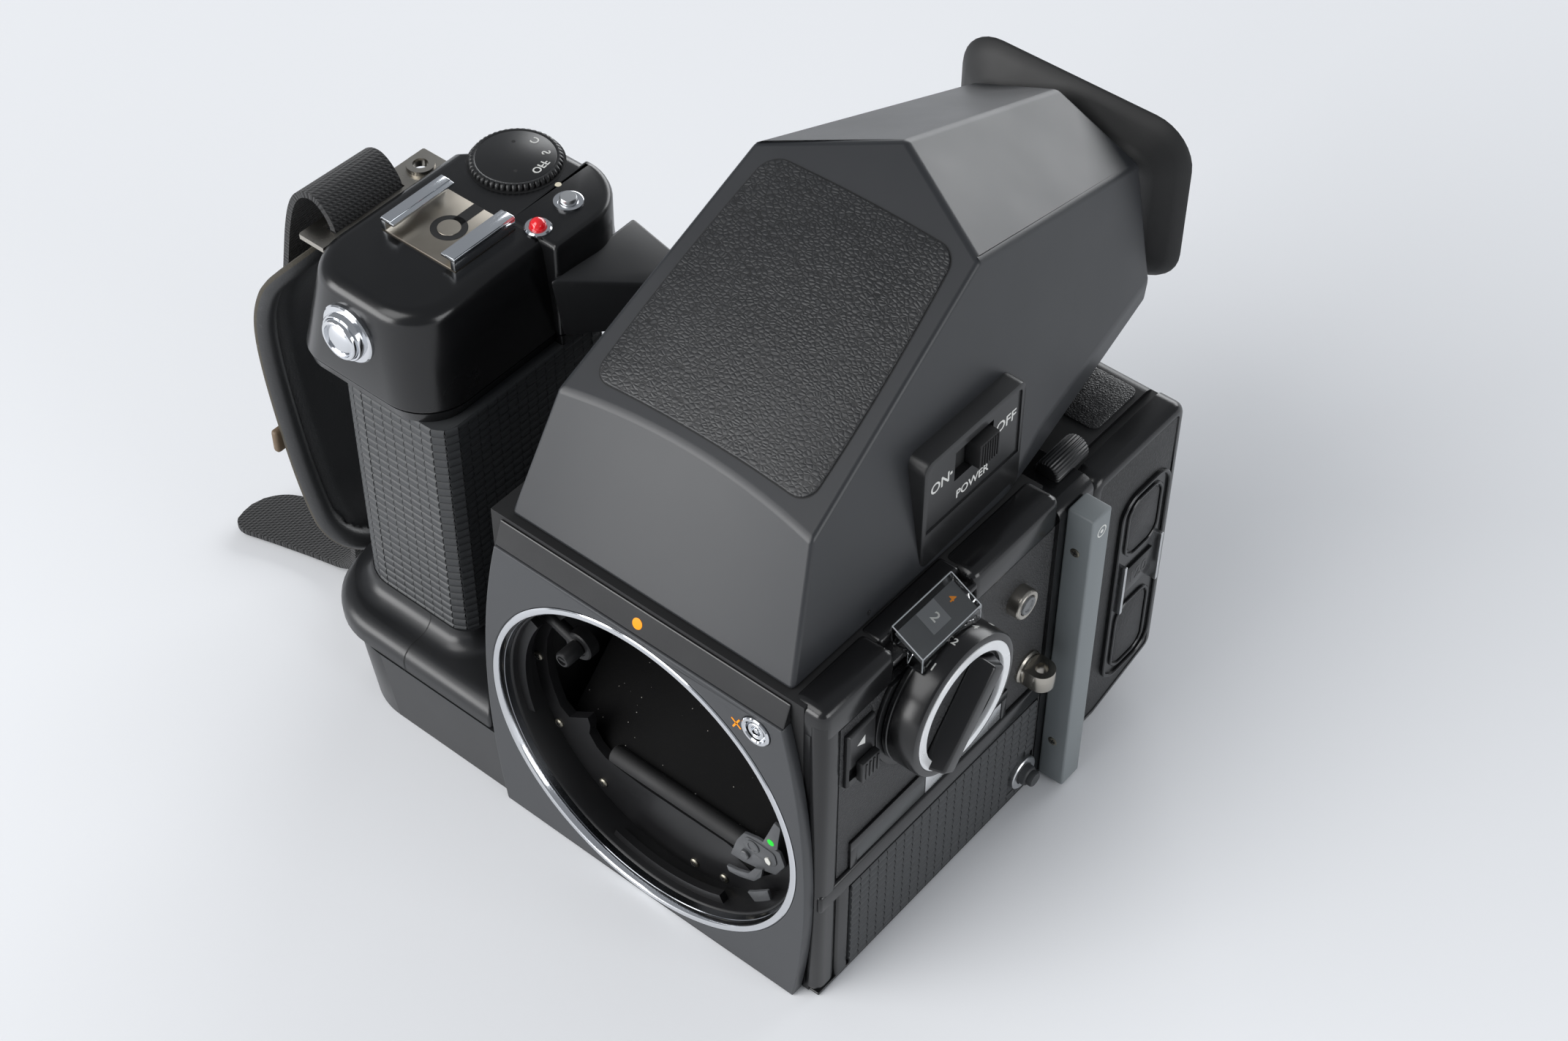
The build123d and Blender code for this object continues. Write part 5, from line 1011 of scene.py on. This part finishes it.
# The grip stands on a satin base in two halves, drawn in towards its foot and
# parted by a fine vertical joint.
def level_loop(x, depth, radii, z, inset=0.0, cut=()):
    """One level of a moulding: a rounded rectangle seen from above, some corners cut straight."""
    left, right, front, rear = x[0] + inset, x[1] - inset, depth[0] + inset, depth[1] - inset
    loop = []
    for number, radius in enumerate(radii):
        radius = max(radius - inset, 0.5)
        middle = Vector((right - radius if number in (1, 2) else left + radius,
                         rear - radius if number in (2, 3) else front + radius))
        turn = [middle + radius * Vector((cos(angle), sin(angle)))
                for angle in (radians(180 + 90 * number + 7.5 * step) for step in range(13))]
        if number in cut:
            turn = [turn[0].lerp(turn[-1], step / 12) for step in range(13)]
        loop += [shape.verts.new(at(spot.x, spot.y, z)) for spot in turn]
    return loop


satin_shell = finish("satin_grip_shell", (0.012, 0.0125, 0.0135), (0.017, 0.0176, 0.019),
                     (0.3, 0.38), 0.2, 0.006)
dress(satin_shell, "base_cover", edge=0.35)
base_plan = ((-103.0, -45.4), (0.5, 78.0), (18.0, 1.0, 1.0, 10.0))
foot_plan = ((-97.0, -60.9), (10.3, 62.0), (11.0, 5.0, 5.0, 11.0))
shoulder, shoulder_z, fillet, fillet_z = 3.8, 23.2, 4.6, 27.02
levels = [level_loop(*base_plan, z, inset) for z, inset in (
    (20.4, 0.5), (20.75, 0.5), (20.8, 0.1),
    *((shoulder_z + rise, inset) for rise, inset in rounding(shoulder, 5)))]
levels += [level_loop(*foot_plan, fillet_z + inset, rise - fillet - 0.2)
           for rise, inset in rounding(fillet, 6)]
stacked(levels)
assemble("grip_base_top", satin_shell, replaces=["grip_base"], crease=30)

# The web that ties the head of the grip to the body is moulded like the base, a
# wedge with a slanting top and softly rounded edges.
corners = [shape.verts.new(at(*place)) for place in
           ((-61.0, 43.6, 114.6), (-46.6, 64.6, 107.2), (-46.6, 72.9, 106.8), (-63.0, 72.0, 112.6),
            (-61.0, 46.5, 97.0), (-46.6, 66.0, 94.4), (-46.6, 72.9, 94.4), (-63.0, 71.0, 97.0))]
stacked([corners[:4], corners[4:]])
soften(shape.edges[:], 0.8, 3)
assemble("web_shell", satin_shell, replaces=["grip_web"])

# The halves of the base meet in that joint, a fine dark line which runs up the
# front and follows its shoulder and the hollow below the column.
seam_x, half_seam, seam_depth = -72.2, 0.09, 0.42
seam_line = [(1.72, 0.8), (seam_depth, 20.3), (seam_depth, shoulder_z)]
seam_line += [(seam_depth + inset, shoulder_z + 3.88 / shoulder * rise)
              for rise, inset in rounding(shoulder, 6)[1:]]
seam_line += [(10.05 - fillet + rise, 27.06 + inset) for rise, inset in rounding(fillet, 6)]
pairs = [[shape.verts.new(at(seam_x + side, depth, z)) for side in (-half_seam, half_seam)]
         for depth, z in seam_line]
for first, second in zip(pairs, pairs[1:]):
    shape.faces.new((first[0], first[1], second[1], second[0]))
assemble("base_joint", matt_black_and_shade)

# The column is a metal tube sleeved in ribbed rubber, moulded as rows of small
# bricks; the sleeve is slipped on and held by the head.
left, right, front, rear = -96.6, -61.9, 10.7, 61.6
round_left, round_right = 10.6, 4.6
column_runs = [(Vector(start), Vector(end), radius) for start, end, radius in (
    ((left + round_left, front), (right - round_right, front), round_right),
    ((right, front + round_right), (right, rear - round_right), round_right),
    ((right - round_right, rear), (left + round_left, rear), round_left),
    ((left, rear - round_left), (left, front + round_left), round_left))]
way_round = sum((end - start).length + radius * pi / 2 for start, end, radius in column_runs)


def round_the_column(share):
    """The place and the outward direction at a share of the way round the outline."""
    distance = way_round * share
    for start, end, radius in column_runs:
        length, along = (end - start).length, (end - start).normalized()
        out = Vector((along.y, -along.x))
        if distance <= length:
            return start + along * distance, out
        distance -= length
        if distance <= radius * pi / 2:
            turned_out = out * cos(distance / radius) + along * sin(distance / radius)
            return end - out * radius + turned_out * radius, turned_out
        distance -= radius * pi / 2


foot_z, tube_height, rows, columns = 30.02, 63.55, 29, 54
first_row, row_step = 31.2, 2.188
tube = [round_the_column(step / (2 * columns))[0] for step in range(2 * columns)]
thickened([outlined([at(spot.x, spot.y, foot_z) for spot in tube])], (0, 0, tube_height))
for row in range(rows):
    for column in range(columns):
        spot, out = round_the_column((column + 0.5) / columns)
        out = out.to_3d()
        rubber_brick(at(spot.x, spot.y, first_row + row_step * row), upwards.cross(out), out,
                     (2.93, 2.1), 0.4)
assemble("grip_rubber_sleeve", [rubber, matt_black_and_shade], replaces=["grip_column"],
         crease=60)


# The head is moulded in gloss black and leans in a little towards its top; it
# sits on a lip, its rear cover steps out to the right behind a seam, and a
# cream dot marks the place for the dial.
def head_level(z, inset):
    """The front shell's outline at a height, narrower towards the top."""
    rise = (z - 97.0) / 25.0
    return level_loop((-104.2 + 4.6 * rise, -62.3 - 2.7 * rise), (7.6 + 1.5 * rise, 71.6),
                      (9.0 + 3.5 * rise, 12.0, 8.0, 16.0), z, inset, (3,))


stacked([head_level(z, inset) for z, inset in (
    (93.7, 1.9), (96.6, 0.7), (96.9, 1.5), (97.2, 1.5), (97.5, 0.15), (98.0, 0.0),
    *((118.8 + rise, inset) for rise, inset in rounding(3.2, 6)))])
stacked([level_loop((-76.0, -60.7), (46.1, 72.0), (0.6, 1.2, 14.0, 0.6), z, inset)
         for z, inset in ((93.7, 0.8), (96.7, 0.4), (96.9, 1.1), (97.2, 1.1), (97.5, 0.0),
                          (120.6, 0.0), (121.5, 0.35), (121.95, 0.9), (122.06, 1.6))])
assemble("head_shell", moulded_gloss, replaces=["grip_head"], crease=33)
cream_paint = finish("cream_paint", (0.72, 0.66, 0.5), (0.82, 0.76, 0.6), (0.4, 0.5), 0.3, 0.008)
head_top = 122.0
turned(at(-74.4, 61.5, head_top), upwards, [(0, 0), (0.75, 0), (0.7, 0.1), (0, 0.12)], 24)
assemble("dial_place_dot", cream_paint)
dial_x, dial_depth = -86.5, 61.4
block((-76.0, -65.3), (45.95, 46.75), (121.9, 122.02))
# A thin black disc under the mode dial shows as a dark ring round it: painted shadow in the dial's
# well.
turned(at(dial_x, dial_depth, 121.95), upwards, [(0, 0), (10.7, 0), (10.7, 0.08), (0, 0.08)], 72)
assemble("head_seam_and_dial_well_shadow", matt_black_and_shade)

# Mode dial: a scalloped disc, its places printed in white near the rim, with two small holes for a
# pin spanner, drawn as flat black dots: painted shade.
dial_middle = at(dial_x, dial_depth, 119.5)
turned(dial_middle, upwards,
       [(0, 0), (9.9, 0), (10.15, 0.3), (10.15, 1.2), (10.15, 2.2), (10.15, 3.3), (9.85, 3.7),
        (9.4, 3.95), (8.9, 3.95), (8.75, 3.85), (8.6, 3.95), (0, 3.95)], 288)
rim_from, notch_depth = 0.0097, 0.00062
for vert in shape.verts:
    spot = (vert.co - dial_middle).to_2d()
    if spot.length > rim_from:
        inwards = spot.normalized() * notch_depth * max(0.0, fluted(spot, 48)) ** 2
        vert.co.x, vert.co.y = vert.co.x - inwards.x, vert.co.y - inwards.y
assemble("mode_dial_disc", satin_plastic, "mode_dial", replaces=["mode_dial"], crease=50)
# The spanner holes are not cut: flat black dots stand for their shade.
for x, depth in ((-90.3, 64.7), (-83.2, 57.8)):
    turned(at(x, depth, 123.46), upwards, [(0, 0), (0.45, 0), (0, 0.005)], 16)
assemble("mode_dial_hole_shades", matt_black_and_shade, "mode_dial")
for name, text, turn_to in (("mode_off", "OFF", 7), ("mode_single", "S", 51),
                            ("mode_continuous", "C", 94)):
    out = Vector((cos(radians(turn_to)), sin(radians(turn_to)), 0))
    letters(name, text, 1.9, dial_middle + out * 0.0064 + Vector((0, 0, 0.00396)),
            upwards.cross(out), out, print_white, "mode_dial")

# Accessory shoe: a worn nickel floor, a black insulator with a round contact,
# and two polished rails with a step along each.
stained_nickel = finish("stained_nickel", (0.3, 0.26, 0.2), (0.62, 0.58, 0.52), (0.28, 0.5),
                        0.3, 0.01, Metallic=1.0)
shoe_depths, shoe_middle = (27.4, 45.3), -82.05
block((-92.7, -71.4), shoe_depths, (122.0, 122.4), 0.1)
assemble("shoe_floor", stained_nickel, replaces=["hot_shoe"])
polished_rail = finish("polished_rail", (0.7, 0.73, 0.76), (0.8, 0.82, 0.85), (0.12, 0.2),
                       0.4, 0.003, Metallic=1.0)
for side in (1, -1):
    for near, far, z, soft in ((9.35, 10.65, (122.1, 124.9), 0.12),
                               (6.75, 10.65, (124.5, 125.2), 0.12),
                               (7.9, 10.5, (124.9, 125.5), 0.2)):
        block(sorted((shoe_middle + side * near, shoe_middle + side * far)), shoe_depths, z, soft)
assemble("shoe_rails", polished_rail)
contact_x, contact_depth = -81.9, 36.35
turned(at(contact_x, contact_depth, 122.38), upwards, [(0, 0), (4.0, 0), (4.0, 0.08), (0, 0.08)])
block((-83.3, -80.5), (36.4, 45.3), (122.38, 122.46))
assemble("shoe_insulator", matt_black_and_shade)
turned(at(contact_x, contact_depth, 122.44), upwards,
       [(0, 0), (2.55, 0), (2.5, 0.12), (0, 0.14)], 40)
assemble("shoe_contact", stained_nickel)

# Release button on the front: a polished dome inside two stepped chrome rings;
# on top a small push button and a red lamp, each in a chromed collar.
release = at(-84.5, 9.2, 111.0)
turned(release, forwards,
       [(4.86, 0), (4.86, 2.9), (5.0, 3.1), (5.35, 3.1), (5.5, 2.9), (5.55, 1.7), (6.7, 1.55),
        (7.0, 1.2), (7.0, 0.0), (4.86, 0)], 72)
button_place, lamp_place = (-68.8, 58.6), (-68.0, 48.4)
turned(at(*button_place, head_top), upwards,
       [(1.95, 0.0), (1.95, 0.45), (2.2, 0.6), (2.9, 0.75), (3.25, 0.6), (3.3, 0.0), (1.95, 0.0)])
turned(at(*lamp_place, head_top), upwards,
       [(1.9, 0.0), (1.9, 0.7), (2.2, 0.8), (2.7, 0.75), (3.0, 0.4), (3.0, 0.0), (1.9, 0.0)])
assemble("head_rings", chrome, replaces=["head_collars"])
turned(release, forwards,
       [(4.8, -3.0), (4.8, 3.6), (4.65, 4.05), (4.3, 4.2), (3.95, 4.1), (3.85, 3.3), (3.7, 3.3),
        (3.2, 3.75), (2.3, 4.15), (1.2, 4.35), (0, 4.42)], 72)
assemble("release_dome", chrome, "release_button", replaces=["release_button"],
         crease=50)
turned(at(*button_place, 121.0), upwards,
       [(0, 0), (1.88, 0), (1.88, 2.5), (1.7, 2.75), (0, 2.78)], 40)
assemble("push_button", satin_aluminium, "top_button", replaces=["top_button"])
red_lamp = finish("red_lamp", (0.75, 0.006, 0.012), (0.85, 0.012, 0.02), (0.05, 0.1), 1.0, 0.001,
                  Coat_Weight=1.0, Emission_Color=(0.8, 0.01, 0.02, 1), Emission_Strength=0.12)
turned(at(*lamp_place, 122.3), upwards,
       [(1.88, 0), (1.84, 0.7), (1.66, 1.3), (1.3, 1.8), (0.8, 2.15), (0.4, 2.28), (0, 2.3)], 40)
assemble("lamp_dome", red_lamp, crease=60)


# Hand strap: a stiff pad of black leather, its rim rolled and sewn, on an
# olive brown backing whose cut edge shows all round.
def along_route(points, steps):
    """Evenly stepped places along a smooth curve through points given as X and Z."""
    points = [Vector(point) for point in points]
    points = [2 * points[0] - points[1], *points, 2 * points[-1] - points[-2]]
    fine = []
    for a, b, c, d in zip(points, points[1:], points[2:], points[3:]):
        for step in range(40):
            t = step / 40
            fine.append(0.5 * (2 * b + (c - a) * t + (2 * a - 5 * b + 4 * c - d) * t ** 2
                               + (3 * b - a - 3 * c + d) * t ** 3))
    fine.append(points[-2])
    lengths = [0.0]
    for first, second in zip(fine, fine[1:]):
        lengths.append(lengths[-1] + (second - first).length)
    places, upto = [], 0
    for step in range(steps + 1):
        goal = lengths[-1] * step / steps
        while upto < len(fine) - 2 and lengths[upto + 1] < goal:
            upto += 1
        share = (goal - lengths[upto]) / max(lengths[upto + 1] - lengths[upto], 1e-9)
        places.append((fine[upto].lerp(fine[upto + 1], min(share, 1.0)),
                       (fine[upto + 1] - fine[upto]).normalized(), goal))
    return places, lengths[-1]


def worn_leather(name, dark, light, worn, roughness, relief):
    """Smooth leather with fine creases that has rubbed pale in places."""
    material = finish(name, dark, light, roughness, 0.5, relief)
    tree, shader = opened(material)
    patches = wire(tree, "TexNoise", {"Vector": wire(tree, "TexCoord").outputs["Object"],
                                      "Scale": 420.0, "Detail": 8.0, "Roughness": 0.75})
    where = wire(tree, "MapRange", {"Value": patches, "From Min": 0.6, "From Max": 0.72})
    plug(shader, {"Base Color": mixed(tree, where, tone_of(shader), (*worn, 1))})
    return material


pad_leather = worn_leather("pad_leather", (0.024, 0.0247, 0.026), (0.036, 0.0368, 0.0385),
                           (0.06, 0.061, 0.064), (0.34, 0.48), 0.05)
backing_leather = worn_leather("backing_leather", (0.032, 0.028, 0.02), (0.062, 0.054, 0.04),
                               (0.11, 0.098, 0.075), (0.6, 0.75), 0.08)
pad_steps = 96
pad_line, pad_length = along_route([(-108.5, 110.0), (-117.0, 99.0), (-121.0, 84.0),
                                    (-118.5, 60.0), (-112.5, 36.0), (-102.5, 21.0)], pad_steps)
half_length, half_width, corner, pad_depth = pad_length / 2, 22.0, 15.0, 35.0
rolled_rim, rim_height, face_rise, crown_rise, crown_run = 5.2, 2.35, -0.75, 2.1, 4.0
backing_drop, edge_lift, edge_run = -1.9, 0.25, 0.8


def on_pad(u, v):
    """Run, width and distance from the edge, for a corner of a square grid drawn into the pad."""
    run, width = u * half_length, v * half_width
    a, b = abs(run) - (half_length - corner), abs(width) - (half_width - corner)
    if a <= 0 or b <= 0:
        return run, width, min(half_length - abs(run), half_width - abs(width))
    a, b = a / corner, b / corner
    a, b = a * (1 - b * b / 2) ** 0.5 * corner, b * (1 - a * a / 2) ** 0.5 * corner
    return ((half_length - corner + a) * (1 if run > 0 else -1),
            (half_width - corner + b) * (1 if width > 0 else -1), corner - Vector((a, b)).length)


def pad_lift(side, from_edge):
    """How far the leather, or the backing, stands off the pad's middle line."""
    if side < 0:
        return backing_drop + edge_lift * max(0.0, 1 - from_edge / edge_run)
    if from_edge < rolled_rim:
        half_rim = rolled_rim / 2
        return (face_rise
                + rim_height * max(0.0, 1 - ((from_edge - half_rim) / half_rim) ** 2) ** 0.5)
    crown = min(1.0, (from_edge - rolled_rim) / crown_run)
    return face_rise + crown_rise * (1 - (1 - crown) ** 2) ** 0.5


for side in (1, -1):
    verts = ops.create_grid(shape, x_segments=pad_steps, y_segments=44, size=1.0)["verts"]
    for vert in verts:
        run, width, from_edge = on_pad(vert.co.x, vert.co.y)
        exact = (run / pad_length + 0.5) * pad_steps
        step = min(int(exact), pad_steps - 1)
        before, after = pad_line[step], pad_line[step + 1]
        way = before[1].lerp(after[1], exact - step).normalized()
        spot = (before[0].lerp(after[0], exact - step)
                + Vector((-way.y, way.x)) * pad_lift(side, from_edge))
        vert.co = at(spot.x, pad_depth + width, spot.y)
    if side < 0:
        colour(verts, 1)
rims = [edge for edge in shape.edges if edge.is_boundary]
for face in ops.bridge_loops(shape, edges=rims)["faces"]:
    face.material_index = 1
ops.remove_doubles(shape, verts=shape.verts, dist=0.00001)
pad = assemble("strap_pad", [pad_leather, backing_leather],
               replaces=["hand_strap_pad"], crease=55)
keeper_brown = worn_leather("keeper_leather", (0.09, 0.06, 0.035), (0.16, 0.11, 0.065),
                            (0.25, 0.2, 0.14), (0.5, 0.65), 0.06)
block((-121.6, -119.6), (11.6, 15.2), (50.5, 57.0), 0.8, 3)
assemble("strap_keeper", keeper_brown)


# The webbing is one band of coarse black weave: it loops through the plate on
# the head, runs down outside the pad and lies out on the table.
def woven(name, dark, light):
    """A coarse weave laid out in the cloth's own map, whose unit is a millimetre, darker in the
    hollows between the threads as painted shade.
    """
    material = bpy.data.materials.new(name)
    tree, shader = opened(material)
    cloth = wire(tree, "UVMap", uv_map="weave")
    apart = wire(tree, "SeparateXYZ", {"Vector": cloth})
    across, along = apart.outputs["X"], apart.outputs["Y"]
    rib_pitch, row_pitch = 1.15, 0.9
    ribs = wire(tree, "Math", {0: across, 1: along}, operation="ADD")
    ribs = wire(tree, "Math", {0: ribs, 1: 2 * pi / rib_pitch}, operation="MULTIPLY")
    ribs = wire(tree, "Math", {0: ribs}, operation="SINE")
    rows = wire(tree, "Math", {0: along, 1: 2 * pi / row_pitch}, operation="MULTIPLY")
    rows = wire(tree, "Math", {0: rows}, operation="SINE")
    threads = wire(tree, "Math", {0: ribs, 1: rows}, operation="MAXIMUM")
    frayed = wire(tree, "TexNoise", {"Vector": cloth, "Scale": 7.0, "Detail": 3.0})
    height = wire(tree, "Math", {0: frayed, 1: 0.9, 2: threads}, operation="MULTIPLY_ADD")
    # Colour follows the height of the weave: the hollows between the threads are painted darker, as
    # shade, with some random tone from the fraying.
    hollow_shade = wire(tree, "MapRange", {"Value": height, "From Min": -0.6, "From Max": 1.3})
    plug(shader, {
        "Normal": wire(tree, "Bump", {"Height": height, "Distance": 0.00017, "Strength": 1.0}),
        "Base Color": mixed(tree, hollow_shade, (*dark, 1), (*light, 1)),
        "Roughness": 0.75, "Sheen Weight": 0.12})
    return material


black_weave = woven("black_weave", (0.0022, 0.0022, 0.0026), (0.0125, 0.0128, 0.0138))
off_the_pad = 3.1
beside_pad = [middle + Vector((way.y, -way.x)) * off_the_pad
              for middle, way, _ in pad_line[20:80:10]]
strap_steps, strap_depth, full_half, taper, tail_round = 240, 34.0, 10.0, 34, 6.0
strap_line, strap_length = along_route(
    [(-105.0, 112.0), (-105.6, 118.3), (-109.8, 122.3), (-114.6, 119.8), (-118.4, 111.0),
     *beside_pad, (-113.6, 19.0), (-113.9, 8.0), (-118.5, 2.6), (-128.0, 1.2), (-151.5, 1.2)],
    strap_steps)
weave = shape.loops.layers.uv.new("weave")
for vert in ops.create_grid(shape, x_segments=strap_steps, y_segments=12, size=1.0)["verts"]:
    middle, way, gone = strap_line[round((vert.co.x + 1) * strap_steps / 2)]
    reach = strap_length - gone
    towards_end = max(0.0, 1 - reach / taper)
    half = full_half - 2.5 * towards_end
    if reach < tail_round:
        half += (tail_round ** 2 - (tail_round - reach) ** 2) ** 0.5 - tail_round
    width = vert.co.y * half - 11.0 * towards_end ** 1.4
    spot = middle + Vector((-way.y, way.x)) * 0.25 * sin(gone / 9.0) * vert.co.y
    for loop in vert.link_loops:
        loop[weave].uv = (width, gone)
    vert.co = at(spot.x, strap_depth + width, spot.y)
ops.recalc_face_normals(shape, faces=shape.faces)
ops.solidify(shape, geom=shape.faces[:], thickness=0.0015)
assemble("strap_webbing", black_weave, replaces=["hand_strap_webbing"], crease=50)
